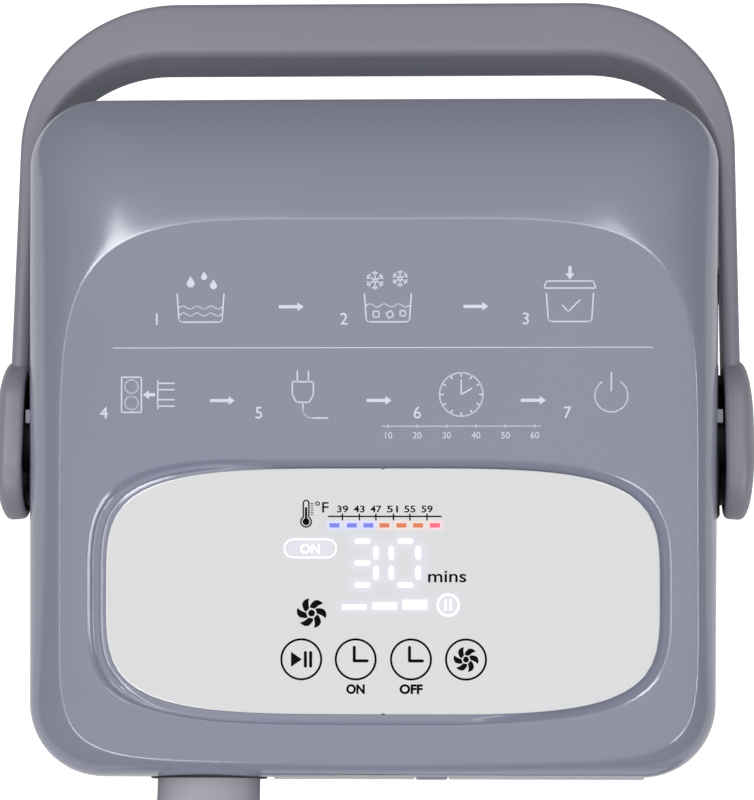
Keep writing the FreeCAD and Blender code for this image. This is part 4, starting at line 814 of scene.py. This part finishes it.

# %% [markdown]
# Between each hub and the wall sits a black plate, fixed to the tank. It is a dark sheet that stands in for
# the deep shade in that gap, as painted shadow. Two small blocks with rounded edges are enough, because only
# their top edges are ever seen. The outer one is shorter, so that the swinging arm clears it.

# %% Dark plates for the shade in the gap
# Painted shadow: black blocks that darken the gap between each hub and the tank wall.
bm = bmesh.new()
for side in (1, -1):
    low, high = sorted((side * 119.0, side * 121.7))
    box_form(bm, (low, -27.0, 172.0), (high, 27.0, 189.0), 0.5)
    low, high = sorted((side * 121.0, side * 122.5))
    box_form(bm, (low, -22.5, 173.0), (high, 20.0, 186.0), 0.4)
gap_shade_plates = finished("gap_shade_plates", bm, "tank")
print("gap plates:", len(gap_shade_plates.data.polygons))

# %% [markdown]
# ## Panel
# The panel is one white plate of glossy acrylic. Its underside carries the light box, so the lit
# signs glow through it with a soft edge. It is lofted from its outline inwards, in many fine rings,
# because the glow is stored on its vertices. A bevelled slab would look the same but could not hold
# the glow. Its rim is rounded, and two small notches mark where the mould let go.

# %% Panel plate
PANEL_TOP = -0.6
PANEL_RINGS = 88


def panel_share(share, z):
    """The panel's outline shrunk to a share of its size."""
    return panel_ring(PANEL_X * (share - 1), PANEL_Y * (share - 1), z)


rings = [panel_ring(-0.5, -0.5, -3.0), panel_ring(0, 0, -2.5), panel_ring(0, 0, PANEL_TOP - 0.45)]
rings += [panel_ring(-0.12, -0.12, PANEL_TOP - 0.13), panel_ring(-0.4, -0.4, PANEL_TOP - 0.01)]
rings += [panel_share(0.99 * (1 - step / PANEL_RINGS), PANEL_TOP) for step in range(PANEL_RINGS)]
panel = finished("panel", loft(rings, first_cap=True, last_cap=True), "lid", sharp=50)
for end in (1, -1):
    notch = rod_form((0, end * 42.25, -4), (0, end * 42.25, 2), 0.85, 24)
    notch.transform(Matrix.Translation(ON_FACET.translation) @ TILT @ Matrix.Translation(mm(0.33, 0, 0)))
    cut(panel, notch)
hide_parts("panel_lens")
print("panel:", len(panel.data.vertices), "points")

# %% [markdown]
# ## Signs
# Every printed or lit sign is a thin plate laid on the surface, a fiftieth of a millimetre proud.
# Strokes are rows of round-ended bars, rings are lofts of four circles, and solid shapes are
# outlines with two faces. Curves with a bevel would also draw lines, but they stand up like wire.
# The words and numbers come from Blender's own font.

# %% Outlines for signs
def path(*points):
    """Points of a line on the sloping face, in millimetres."""
    return [Vector(point) for point in points]


def around(middle, radius, angle):
    """A point at an angle round a middle."""
    return Vector(middle) + Vector((math.cos(angle), math.sin(angle))) * radius


def circle(middle, radius, count=48):
    """A full circle."""
    return [around(middle, radius, 2 * math.pi * step / count) for step in range(count)]


def arc(middle, radius, first, last, count=14):
    """Part of a circle, between two angles in degrees."""
    turns = [math.radians(first + (last - first) * step / count) for step in range(count + 1)]
    return [around(middle, radius, turn) for turn in turns]


def bar(start, end, width):
    """Outline of a round-ended bar."""
    start, end = Vector(start), Vector(end)
    way = math.atan2(end.y - start.y, end.x - start.x)
    points = []
    for middle, first in ((end, way - math.pi / 2), (start, way + math.pi / 2)):
        for step in range(7):
            angle = first + math.pi * step / 6
            points.append(middle + Vector((math.cos(angle), math.sin(angle))) * width / 2)
    return points


print("points in a bar:", len(bar((0, 0), (1, 0), 0.5)))

# %% Fan blades
BLADES = 6
BLADE = ((0.37, 30), (0.46, 29), (0.56, 22), (0.72, 11), (0.88, 1), (0.97, -12), (1.0, -24), (1.0, -36),
         (0.83, -31), (0.67, -27), (0.5, -24), (0.36, -20))


def fan_blades(middle, radius):
    """Outlines of comma-shaped fan blades round a middle."""
    starts = [75 + 360 * number / BLADES for number in range(BLADES)]
    return [[around(middle, radius * r, math.radians(start + a)) for r, a in BLADE] for start in starts]


print("points in a blade:", len(BLADE))

# %% Thin plates for signs
PROUD, SUNK = 0.02, 0.06
CAPITAL_HEIGHT, WORD_MIDDLE = 0.729, -0.02


class Print:
    """Thin plates on the sloping face, in its own millimetres."""

    def __init__(self, top):
        self.top = top
        self.bm = bmesh.new()

    def ring_at(self, points, z):
        """Points put at a height over the sloping face."""
        return [ON_FACET @ mm(p.x, p.y, z) for p in points]

    def fill(self, points, hole=None):
        """A plate with an outline, and with a hole where one is given."""
        high, low = self.top + PROUD, self.top - SUNK
        rings = [self.ring_at(points, high), self.ring_at(points, low)]
        if hole:
            rings += [self.ring_at(hole, low), self.ring_at(hole, high)]
        take_in(self.bm, loft(rings, close=bool(hole), first_cap=not hole, last_cap=not hole))

    def stroke(self, points, width, closed=False):
        """A line of round-ended bars."""
        ends = list(points) + ([points[0]] if closed else [])
        for a, b in zip(ends, ends[1:]):
            self.fill(bar(a, b, width))

    def text(self, words, middle, height, bold=0.0, width=None):
        """Words round a middle, squeezed to a width where one is given."""
        curve = bpy.data.curves.new("words", "FONT")
        curve.body = words
        curve.size = height / CAPITAL_HEIGHT / 1000
        curve.extrude = 0.00004
        curve.offset = bold / 1000
        curve.align_x = "CENTER"
        stand = in_scene("words", curve)
        shape = bpy.data.meshes.new_from_object(stand)
        bpy.data.objects.remove(stand)
        middle = Vector(middle)
        if width:
            spans = [v.co.x for v in shape.vertices]
            shape.transform(Matrix.Diagonal((width / 1000 / (max(spans) - min(spans)), 1, 1, 1)))
        place = mm(middle.x, middle.y - height / 2, self.top + WORD_MIDDLE)
        shape.transform(ON_FACET @ Matrix.Translation(place))
        self.bm.from_mesh(shape)
        bpy.data.meshes.remove(shape)

    def piece(self, name, paint_slot="panel"):
        """All plates as one piece on the lid."""
        bmesh.ops.recalc_face_normals(self.bm, faces=self.bm.faces)
        mesh = bpy.data.meshes.new(name)
        self.bm.to_mesh(mesh)
        self.bm.free()
        made = in_scene(name, mesh)
        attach(made, "lid")
        return made


print("signs are", PROUD + SUNK, "mm thick")

# %% [markdown]
# The black print, from back to front: a temperature scale with a thermometer, the sign for minutes,
# a fan, and four round keys for start and pause, the two modes and the fan. An image on the plate
# would be quicker, but it would blur from near by.

# %% Black print on the panel
black = Print(PANEL_TOP)
black.stroke(path((-18.25, 25.5), (20.07, 25.5)), 0.5)
for number, x in zip((39, 43, 47, 51, 55, 59), (-13.5, -7.7, -2.1, 3.9, 9.5, 15.3)):
    black.stroke(path((x, 26.25), (x, 24.35)), 0.5)
    black.text(str(number), (x, 28.1), 2.35, 0.06, width=3.8)
black.text("°F", (-20.6, 28.7), 3.7, 0.05, width=4.6)
stem = arc((-25.9, 30.0), 0.95, 0, 180) + path((-26.85, 25.2))
stem += arc((-25.9, 23.7), 1.8, 122, 418, 20) + path((-24.95, 25.2))
black.stroke(stem, 0.48, closed=True)
black.fill(circle((-25.9, 23.7), 1.2))
black.stroke(path((-25.9, 24), (-25.9, 28.3)), 0.8)
for step in range(6):
    black.stroke(path((-24.3, 26.1 + 0.75 * step), (-23.5, 26.1 + 0.75 * step)), 0.28)
black.text("mins", (22.1, 5.35), 4.3, 0.07, width=13.0)
print("scale and thermometer drawn")

# %% Keys and fan signs
KEYS, KEYS_Y = (-27.5, -8.96, 9.85, 28.55), -23.1


def fan(middle, radius, hub):
    """A fan sign: blades round a hub."""
    for blade in fan_blades(middle, radius):
        black.fill(blade)
    black.fill(circle(middle, hub))


fan((-24.0, -7.4), 5.1, 1.15)
for x in KEYS:
    black.fill(circle((x, KEYS_Y), 7.15, 64), circle((x, KEYS_Y), 6.42, 64))
black.fill(path((-31.0, -20.5), (-31.0, -25.7), (-27.3, KEYS_Y)))
for x in (-26.1, -24.3):
    black.stroke(path((x, -20.8), (x, -25.4)), 1.05)
for x in KEYS[1:3]:
    black.stroke(path((x - 0.5, -19.0), (x - 0.5, -23.6), (x + 3.9, -23.6)), 1.05)
fan((KEYS[3], KEYS_Y), 4.3, 1.0)
black.text("ON", (KEYS[1], -33.1), 3.1, 0.19, width=6.3)
black.text("OFF", (KEYS[2], -33.1), 3.1, 0.19, width=7.9)
black_print = black.piece("panel_print")
print("panel print:", len(black_print.data.polygons), "faces")

# %% [markdown]
# The lit signs are a temperature bar of three cold, three warm and one hot light, a pill, two
# digits of round-ended bars, three level bars and a pause sign.

# %% Kinds of light
LIGHT_TONE = {"cold": (0.10, 0.14, 0.95), "warm": (0.62, 0.16, 0.03), "hot": (0.85, 0.05, 0.12),
              "white": (0.15, 0.15, 0.36)}
lights = {kind: Print(PANEL_TOP) for kind in LIGHT_TONE}
white = lights["white"]
glows = []


def lit_box(kind, low, high, spread):
    """A lit rectangle between two corners."""
    lights[kind].fill(path(low, (high[0], low[1]), high, (low[0], high[1])))
    glows.append((low, high, spread, kind))


def lit_bar(start, end, width):
    """A lit round-ended bar, as in a digit."""
    white.fill(bar(start, end, width))
    low, high = [[pick(a, b) for a, b in zip(start, end)] for pick in (min, max)]
    room = width / 3
    glows.append(((low[0] - room, low[1] - room), (high[0] + room, high[1] + room), 2.3, "white"))


def pill(radius):
    """Outline of the pill round its word."""
    return arc((-18.7, 14.6), radius, -90, 90) + arc((-30.2, 14.6), radius, 90, 270)


print("kinds of light:", list(lights))

# %% Lit signs
for number, x in enumerate((-16.2, -10.3, -4.65, 0.8, 6.6, 12.25, 18.0)):
    lit_box(("cold", "warm", "hot")[(number > 2) + (number > 5)], (x - 1.7, 21.7), (x + 1.7, 23.2), 0.95)
for x, rows in ((-8.45, (17.1, 9.65, 2.2)), (6.15, (17.1, 2.2))):
    for y in rows:
        lit_bar((x, y), (x + 3.6, y), 1.7)
for x in (-2.06, 3.19, 12.31):
    lit_bar((x, 14.6), (x, 11.7), 1.7)
    lit_bar((x, 7.8), (x, 4.9), 1.7)
for low_x, high_x, high_y in ((-13.6, -5.4, -4.5), (-3.3, 5.0, -3.8), (7.0, 15.3, -2.9)):
    lit_box("white", (low_x, -6.1), (high_x, high_y), 1.5)
white.fill(circle((22.5, -4.6), 3.9), circle((22.5, -4.6), 3.25))
for x in (21.6, 23.4):
    white.stroke(path((x, -3.1), (x, -6.1)), 0.75)
glows.append(((20.5, -6.6), (24.5, -2.6), 1.8, "white"))
white.fill(pill(3.3), pill(2.85))
white.text("ON", (-24.5, 14.6), 3.2, 0.06, width=6.6)
glows.append(((-31.0, 12.6), (-18.0, 16.6), 1.9, "white"))
lit = {kind: plate.piece("lit_" + kind) for kind, plate in lights.items()}
print("lit signs:", {kind: len(piece.data.polygons) for kind, piece in lit.items()})

# %% [markdown]
# Light spreads a little inside the white plate. How strong the glow is at each vertex depends on
# its distance from the nearest lit shape, and is kept as a colour that the plate's finish reads.

# %% Glow in the panel
to_panel = ON_FACET.inverted()
glow = panel.data.attributes.new("glow", "FLOAT_COLOR", "POINT")
brightest = 0.0
for vertex in panel.data.vertices:
    on_plate = to_panel @ vertex.co * 1000
    tone = Vector((0.0, 0.0, 0.0))
    for low, high, spread, kind in glows:
        off_x = max(low[0] - on_plate.x, 0.0, on_plate.x - high[0])
        off_y = max(low[1] - on_plate.y, 0.0, on_plate.y - high[1])
        strength = math.exp(-(off_x ** 2 + off_y ** 2) / spread ** 2)
        for number in range(3):
            tone[number] = max(tone[number], LIGHT_TONE[kind][number] * strength)
    brightest = max(brightest, max(tone))
    glow.data[vertex.index].color = (tone.x, tone.y, tone.z, 1)
print("brightest glow:", round(brightest, 2))

# %% [markdown]
# ## Guide signs on the lid
# The flat of the lid carries line drawings in pale ink that say what to do, in order, without
# words: water, ice, lid, couplings, socket, time and start. They are drawn with the same strokes as
# the panel's signs. Each sign is a list of lines round its own middle.

# %% Shapes for the guide
WAVES, WAVE_STEPS = 3, 24
TUB = path((-8, 2.4), (-7.4, -6.4), (-6.6, -7.2), (6.6, -7.2), (7.4, -6.4), (8, 2.4))


def wave(y, width):
    """A wavy line, for water."""
    heights = [0.55 * math.sin(2 * math.pi * WAVES * step / WAVE_STEPS) for step in range(WAVE_STEPS + 1)]
    return path(*[(width * (step / WAVE_STEPS - 0.5), y + high) for step, high in enumerate(heights)])


def drop(x, y, size):
    """Outline of a drop."""
    return path((x, y + 1.5 * size)) + arc((x, y), size * 0.8, 35, -215, 12)


def flake(x, y, size):
    """Lines of a snowflake, for ice."""
    lines = []
    middle = Vector((x, y))
    for turn in range(6):
        way = Vector((math.cos(math.pi * turn / 3 + 0.52), math.sin(math.pi * turn / 3 + 0.52)))
        side = Vector((-way.y, way.x))
        lines.append([middle, middle + way * size])
        fork = middle + way * size * 0.62
        lines.append([fork + (way + side) * size * 0.26, fork, fork + (way - side) * size * 0.26])
    return lines


def arrow(x, y, length, way=0):
    """Outline of an arrow that points along an angle."""
    turn = Matrix.Rotation(math.radians(way), 2)
    neck = length / 2 - 2.1
    shape = path((-length / 2, 0.55), (neck, 0.55), (neck, 1.5), (length / 2, 0), (neck, -1.5), (neck, -0.55),
                 (-length / 2, -0.55))
    return [Vector((x, y)) + turn @ point for point in shape]


print("tub, wave, drop, flake and arrow ready")

# %% What each sign shows
SIGNS = {
    1: ([TUB, wave(-2.2, 14.4), wave(-4.6, 14.0)],
        [drop(-3.4, 6.0, 1.7), drop(1.2, 8.2, 1.3), drop(4.4, 5.2, 1.5)]),
    2: ([TUB, wave(-1.6, 14.6), *flake(-4.4, 7.0, 3.0), *flake(4.2, 7.6, 2.6),
         path((-5, -3.6), (-3, -3.6), (-3, -5.6), (-5, -5.6), (-5, -3.6)),
         path((-0.6, -4.2), (1.2, -3.4), (2.0, -5.2), (0.2, -6.0), (-0.6, -4.2)),
         path((4.2, -3.4), (6.0, -3.4), (6.0, -5.2), (4.2, -5.2), (4.2, -3.4))], []),
    3: ([TUB, path((-8.8, 4.2), (-8.0, 6.6), (8.0, 6.6), (8.8, 4.2), (-8.8, 4.2)),
         path((-2.6, -1.6), (-0.6, -3.8), (3.4, 0.2))], [arrow(0, 9.4, 4.6, -90)]),
    4: ([arc((-5.6, 2.8), 2.3, 0, 360, 24), arc((-5.6, -2.8), 2.3, 0, 360, 24),
         path((-9, 6), (-9, -6), (-2.2, -6), (-2.2, 6), (-9, 6)),
         *[path((3.4, y), (9, y)) for y in (3.9, 1.7, -1.7, -3.9)],
         path((3.4, 4.8), (3.4, -4.8))], [arrow(0.4, 0, 4.2, 180)]),
    5: ([path((-3.6, 4.4), (3.6, 4.4), (3.6, 0), (2.2, -2.6), (-2.2, -2.6), (-3.6, 0), (-3.6, 4.4)),
         path((-1.9, 4.4), (-1.9, 8.0)), path((1.9, 4.4), (1.9, 8.0)),
         path((0, -2.6), (0, -5)) + arc((3, -5), 3, 180, 270, 8) + path((8.5, -8))], []),
    6: ([arc((0, 0), 7.4, 0, 360, 40), path((0, 4.9), (0, 0), (3.6, 2.1)),
         *[[Vector((math.cos(t), math.sin(t))) * 6.2, Vector((math.cos(t), math.sin(t))) * 7.2]
           for t in [math.pi * n / 6 for n in range(12)]]], []),
    7: ([arc((0, -0.4), 5.6, 125, 415, 30), path((0, 1.2), (0, 7.4))], []),
}
print("strokes:", sum(len(lines) for lines, solids in SIGNS.values()))

# %% Guide signs
PLACES = {1: (-62, 99), 2: (2, 99), 3: (64, 99), 4: (-80, 67), 5: (-27, 67), 6: (27, 67), 7: (78, 67)}
guide_ink = Print(0.0)
for number, (lines, solids) in SIGNS.items():
    middle = Vector(PLACES[number])
    for line_points in lines:
        guide_ink.stroke([middle + p for p in line_points], 0.48)
    for points in solids:
        guide_ink.fill([middle + p for p in points])
    guide_ink.text(str(number), (middle.x - 15, middle.y - 6), 4.2, 0.02)
for a, b in ((1, 2), (2, 3), (4, 5), (5, 6), (6, 7)):
    gap = (Vector(PLACES[a]) + Vector(PLACES[b])) / 2
    guide_ink.fill([gap + Vector((-1, -2)) + p for p in arrow(0, 0, 8.5)])
guide_ink.stroke(path((-92, 83), (92, 83)), 0.3)
for minutes in range(10, 70, 10):
    x = minutes - 8
    guide_ink.text(str(minutes), (x, 53.2), 2.3, 0.0)
    guide_ink.stroke(path((x, 55.6), (x, 56.8)), 0.25)
guide_ink.stroke(path((0, 56.2), (54, 56.2)), 0.25)
guide_print = guide_ink.piece("guide_print", "lid")
print("guide print:", len(guide_print.data.polygons), "faces")

# %% [markdown]
# # Finishes
# Several finishes share the same effects. Each could have its own copy of the nodes, but a change
# would then have to be made many times, so an effect is a node group built once: the fine skin of
# moulded plastic, the marks on turned metal, and the knit of the hose. A group puts out masks,
# values and normals, and the shader stays in the finish. All patterns use object coordinates or the
# hose's own measure along its line, so they stay put when a part moves.

# %% Tools for finishes
def effect(name, inputs, outputs):
    """An empty node group with its sockets."""
    net = bpy.data.node_groups.new(name, "ShaderNodeTree")
    for label, value in inputs.items():
        net.interface.new_socket(label, in_out="INPUT", socket_type="NodeSocketFloat").default_value = value
    for label, kind in outputs.items():
        net.interface.new_socket(label, in_out="OUTPUT", socket_type="NodeSocket" + kind)
    return net, net.nodes.new("NodeGroupInput").outputs, net.nodes.new("NodeGroupOutput")


def noise_of(net, where, scale, **more):
    """The value of a noise texture."""
    return add(net, "TexNoise", Vector=where, Scale=scale, **more).outputs["Fac"]


def relief_of(net, height, distance, strength=1.0):
    """The normal of a bump."""
    return add(net, "Bump", Strength=strength, Distance=distance, Height=height).outputs["Normal"]


def linear(rgb):
    """A colour as it is seen, from 0 to 255, in the shader's own measure."""
    return tuple(((c / 255 + 0.055) / 1.055) ** 2.4 for c in rgb) + (1.0,)


print("middle grey is", round(linear((128, 128, 128))[0], 3), "in the shader")

# %% [markdown]
# Moulded plastic has three things at once: a faint cloudiness from the flow of the melt, a polish
# that is uneven where hands have been, and a very fine spark-eroded grain. Noise at three scales
# gives them.

# %% Moulded skin
skin_net, given, result = effect("moulded_skin", {"Grain": 900.0, "Depth": 0.00001, "Cloud": 16.0},
                                 {"Tone": "Float", "Polish": "Float", "Normal": "Vector"})
where = add(skin_net, "TexCoord").outputs["Object"]
grain = noise_of(skin_net, where, given["Grain"], Detail=1.0)
give(skin_net, result, Tone=noise_of(skin_net, where, given["Cloud"], Detail=2.0),
     Polish=noise_of(skin_net, where, 70.0, Detail=3.0, Roughness=0.6),
     Normal=relief_of(skin_net, grain, given["Depth"]))
print("group:", skin_net.name, len(skin_net.nodes), "nodes")

# %% [markdown]
# Turned and rolled metal shows fine rings or lines. A wave texture, shaken by noise, gives the
# lines, and a slow noise the smudges of handling.

# %% Tool marks
marks_net, given, result = effect("tool_marks", {"Lines": 1500.0, "Depth": 0.000004},
                                  {"Mark": "Float", "Smudge": "Float", "Normal": "Vector"})
where = add(marks_net, "TexCoord").outputs["Object"]
turned = add(marks_net, "TexWave", {"wave_type": "RINGS"}, Vector=where, Scale=given["Lines"],
             Distortion=2.0, Detail=1.0).outputs["Fac"]
give(marks_net, result, Mark=turned, Smudge=noise_of(marks_net, where, 120.0, Detail=3.0),
     Normal=relief_of(marks_net, turned, given["Depth"]))
print("group:", marks_net.name, len(marks_net.nodes), "nodes")

# %% Finish builders
def moulded(name, seen, rough, spread=0.06, shift=0.05, grain=900.0, depth=0.00001, cloud=16.0, **extra):
    """Plastic or rubber: a colour that drifts a little, with uneven polish and fine grain."""
    paint, net, surface = new_paint(name)
    marks = add(net, "Group", {"node_tree": skin_net}, Grain=grain, Depth=depth, Cloud=cloud).outputs
    deep = linear([c * (1 - shift) for c in seen])
    pale = linear([min(c * (1 + shift), 255) for c in seen])
    dull = calc(net, "MULTIPLY_ADD", marks["Polish"], 4 * spread, rough - 2 * spread)
    give(net, surface, Base_Color=mixed(net, marks["Tone"], deep, pale), Roughness=dull,
         Normal=marks["Normal"], **extra)
    return paint


def metal(name, seen, rough, lines=1500.0):
    """Turned or rolled metal with fine marks."""
    paint, net, surface = new_paint(name)
    marks = add(net, "Group", {"node_tree": marks_net}, Lines=lines).outputs
    tint = mixed(net, marks["Smudge"], linear([c * 0.9 for c in seen]), linear(seen))
    dull = calc(net, "MULTIPLY_ADD", marks["Mark"], 0.14, rough - 0.06)
    give(net, surface, Metallic=1.0, Base_Color=tint, Roughness=dull, Normal=marks["Normal"])
    return paint


print("builders ready")

# %% [markdown]
# ## Lid, handle and tank plastics
# The lid is a blue-grey satin moulding with a clear gloss to its flanks. The handle is darker and duller,
# because it is filled with glass for strength. The tank is nearly white. The black plates are oiled acetal,
# and the ones in the hub gaps stand in for the shade there.

# %% Large mouldings
lid_paint = moulded("lid_plastic", (147, 149, 169), 0.15, spread=0.012, shift=0.012, grain=1400.0,
                    depth=0.000004, cloud=9.0, Specular_IOR_Level=0.55)
handle_paint = moulded("handle_plastic", (144, 145, 156), 0.42, spread=0.05, shift=0.02, grain=1300.0,
                       depth=0.000012, cloud=12.0, Specular_IOR_Level=0.35)
tank_paint = moulded("tank_plastic", (196, 198, 203), 0.38, shift=0.012, depth=0.000008)
liner_paint = moulded("liner_plastic", (226, 228, 230), 0.32, shift=0.01, depth=0.000005)
base_paint = moulded("lid_base_plastic", (200, 201, 206), 0.42, shift=0.015)
pivot_paint = moulded("black_acetal", (16, 16, 18), 0.6, shift=0.1, depth=0.000012, Specular_IOR_Level=0.3)
print("mouldings:", lid_paint.name, handle_paint.name, tank_paint.name)

# %% Rubbers and small plastics
black_rubber = moulded("black_rubber", (26, 26, 28), 0.68, shift=0.1, grain=1200.0, depth=0.00003)
grey_rubber = moulded("grey_rubber", (92, 93, 97), 0.66, shift=0.05, grain=1200.0, depth=0.00003)
shade_paint = moulded("shade_plastic", (38, 38, 40), 0.6, shift=0.08)
pump_paint = moulded("pump_plastic", (54, 56, 60), 0.48, shift=0.05, grain=700.0, depth=0.00002)
line_paint = moulded("silicone_line", (206, 212, 214), 0.30, shift=0.03, grain=300.0, depth=0.00001,
                     Subsurface_Weight=0.15)
lead_paint = moulded("lead_cover", (34, 34, 36), 0.5, shift=0.08)
connector_paint = moulded("connector_plastic", (122, 124, 134), 0.40, shift=0.02, grain=1000.0, depth=0.00001)
latch_paint = moulded("latch_plastic", (74, 96, 150), 0.36, shift=0.03, grain=1000.0, depth=0.000008)
print("small parts: 8 finishes")

# %% Metals
steel_paint = metal("stainless_steel", (196, 197, 199), 0.28)
brass_paint = metal("brass", (206, 172, 104), 0.3, lines=1100.0)
print("metals:", steel_paint.name, brass_paint.name)

# %% [markdown]
# ## Clear and open finishes
# The level window is clear and slightly smoked. It keeps a plain transmission, and the group only
# roughens it a little. The foam between the walls has open cells, which a Voronoi pattern draws.
# The circuit boards are green lacquer over copper tracks, drawn by a brick pattern.

# %% Window
window_paint = moulded("level_window", (214, 224, 230), 0.12, spread=0.03, shift=0.01, depth=0.000002,
                       Transmission_Weight=0.85, IOR=1.49)
print("window:", window_paint.name)

# %% Foam
foam_paint, net, surface = new_paint("insulation_foam")
where = add(net, "TexCoord").outputs["Object"]
cells = add(net, "TexVoronoi", Vector=where, Scale=900.0).outputs["Distance"]
tint = add(net, "ValToRGB", Fac=cells)
tint.color_ramp.elements[0].color = linear((236, 230, 206))
tint.color_ramp.elements[1].color = linear((204, 196, 168))
give(net, surface, Roughness=0.95, Base_Color=tint.outputs["Color"],
     Normal=relief_of(net, cells, 0.0004, 0.8))
print("foam:", foam_paint.name)

# %% Circuit board
board_paint, net, surface = new_paint("circuit_board")
where = add(net, "TexCoord").outputs["Object"]
tracks = add(net, "TexBrick", Vector=where, Scale=260.0, Mortar_Size=0.035, Color1=linear((22, 74, 48)),
             Color2=linear((26, 84, 54)), Mortar=linear((62, 128, 84))).outputs
give(net, surface, Roughness=0.32, Base_Color=tracks["Color"],
     Normal=relief_of(net, tracks["Fac"], 0.00004, 0.5))
print("board:", board_paint.name)

# %% [markdown]
# ## Panel, print and lights
# The panel is white and glossy. Its glow comes from the colour stored on its vertices. The ink is
# matt and a little uneven, as screen print is. The lit signs glow with a slow noise in them. An
# even glow would be simpler, but lamps behind acrylic never light a sign quite evenly.

# %% Panel finish
panel_paint = moulded("panel_acrylic", (236, 237, 237), 0.13, spread=0.025, shift=0.006, grain=500.0,
                      depth=0.000001, cloud=12.0)
halo = add(panel_paint.node_tree, "Attribute", {"attribute_name": "glow"}).outputs["Color"]
give(panel_paint.node_tree, panel_paint.node_tree.nodes["Principled BSDF"], Emission_Color=halo,
     Emission_Strength=0.35)
print("panel finish:", panel_paint.name)

# %% Ink and lights
ink = moulded("black_ink", (9, 9, 11), 0.5, spread=0.08, shift=0.2, grain=2600.0, depth=0.000004,
              Specular_IOR_Level=0.03)
guide_paint = moulded("pale_ink", (228, 230, 246), 0.5, spread=0.08, shift=0.03, grain=2600.0, depth=0.000004)


def light_paint(name, body, shine, power):
    """A lit sign: a coloured body that glows a little unevenly."""
    paint = moulded(name, body, 0.3, shift=0.02)
    net = paint.node_tree
    drift = noise_of(net, add(net, "TexCoord").outputs["Object"], 400.0)
    shade = mixed(net, drift, linear([c * 0.93 for c in shine]), linear(shine))
    give(net, net.nodes["Principled BSDF"], Emission_Color=shade, Emission_Strength=power)
    return paint


light_paints = {"cold": light_paint("cold_light", (96, 104, 190), (110, 124, 235), 0.5),
                "warm": light_paint("warm_light", (190, 104, 66), (224, 116, 60), 0.45),
                "hot": light_paint("hot_light", (216, 84, 104), (250, 84, 110), 0.5),
                "white": light_paint("white_light", (236, 236, 240), (255, 255, 255), 0.8)}
print("lights:", len(light_paints))

# %% [markdown]
# ## Hose cloth
# The hose is foam in a sleeve of closely knitted cloth. The knit runs round the hose, so its
# pattern needs the measure along the line and the angle round it, which were stored with the skin.
# Two crossed waves make the stitches, and slow noise makes the cloth a little worn and uneven. The flanks and
# the underside are painted darker than the top, as painted shade that makes the hose look round.

# %% Knitted cloth
cloth_net, given, result = effect("knit", {"Rows": 2600.0, "Columns": 60.0, "Depth": 0.000012},
                                  {"Stitch": "Float", "Wear": "Float", "Normal": "Vector"})
along_it = add(cloth_net, "Attribute", {"attribute_name": "along"}).outputs["Fac"]
round_hose = add(cloth_net, "Attribute", {"attribute_name": "round"}).outputs["Fac"]
weft = calc(cloth_net, "SINE", calc(cloth_net, "MULTIPLY", along_it, given["Rows"]))
warp = calc(cloth_net, "SINE", calc(cloth_net, "MULTIPLY", round_hose, given["Columns"]))
stitch = calc(cloth_net, "MULTIPLY_ADD", calc(cloth_net, "MULTIPLY", weft, warp), 0.5, 0.5)
where = add(cloth_net, "TexCoord").outputs["Object"]
give(cloth_net, result, Stitch=stitch, Wear=noise_of(cloth_net, where, 26.0, Detail=4.0),
     Normal=relief_of(cloth_net, stitch, given["Depth"]))
print("group:", cloth_net.name, len(cloth_net.nodes), "nodes")

# %% Hose finish
hose_paint, net, surface = new_paint("hose_cloth")
knit = add(net, "Group", {"node_tree": cloth_net}).outputs
worn_tint = mixed(net, knit["Wear"], linear((167, 167, 178)), linear((186, 186, 197)))
shade = add(net, "ValToRGB", Fac=knit["Stitch"])
shade.color_ramp.elements[0].color = (0.72, 0.72, 0.74, 1)
stitch_tint = mixed(net, 0.12, worn_tint, shade.outputs["Color"], "MULTIPLY")
# Painted shade: the colour is darkened on the flanks and the underside of the hose, by the angle round it.
round_hose = add(net, "Attribute", {"attribute_name": "round"}).outputs["Fac"]
painted_side_shade = add(net, "ValToRGB", Fac=calc(net, "COSINE", round_hose))
for stop, place, colour in zip(painted_side_shade.color_ramp.elements, (0.05, 0.75), ((0.54, 0.54, 0.56, 1), (1, 1, 1, 1))):
    stop.position, stop.color = place, colour
side_shaded_tint = mixed(net, 1.0, stitch_tint, painted_side_shade.outputs["Color"], "MULTIPLY")
give(net, surface, Roughness=0.78, Base_Color=side_shaded_tint, Normal=knit["Normal"])
print("hose finish:", hose_paint.name)

# %% [markdown]
# ## Putting the finishes on
# New pieces get theirs by name. Every part that keeps its own mesh gets the finish of the slot it
# is listed under, so no part is left plain, inside or out.

# %% New pieces
worn_by = {lid_paint: (lid_shell, lid_tab), handle_paint: (handle, hub_bodies, hub_tops),
           hose_paint: (hose,), black_rubber: (hose_ring,), pivot_paint: (gap_shade_plates,),
           base_paint: (base_lip,), steel_paint: (latch_coil,), panel_paint: (panel,),
           ink: (black_print,), guide_paint: (guide_print,)}
for paint, pieces in worn_by.items():
    for piece in pieces:
        piece.data.materials.clear()
        piece.data.materials.append(paint)
for kind, piece in lit.items():
    piece.data.materials.append(light_paints[kind])
print("pieces dressed:", sum(len(p) for p in worn_by.values()) + len(lit))

# %% Parts that keep their mesh
BY_SLOT = {"shell": tank_paint, "liner": liner_paint, "foam": foam_paint, "window": window_paint,
           "black_rubber": black_rubber, "grey_rubber": grey_rubber, "steel": steel_paint,
           "pivot_plastic": pivot_paint, "handle": handle_paint, "lid": lid_paint, "lid_base": base_paint,
           "panel": panel_paint, "board": board_paint, "shade": shade_paint, "pump_plastic": pump_paint,
           "line": line_paint, "lead": lead_paint, "brass": brass_paint, "jacket": hose_paint,
           "connector": connector_paint, "latch": latch_paint}
dressed = 0
for part in frame["record"]["subparts"]:
    finish = BY_SLOT[part["material_slot"]]
    for socket in nodes[part["node"]].material_slots:
        socket.material = finish
        dressed += 1
print("material slots filled:", dressed, "of", sum(len(o.material_slots) for o in nodes.values()))
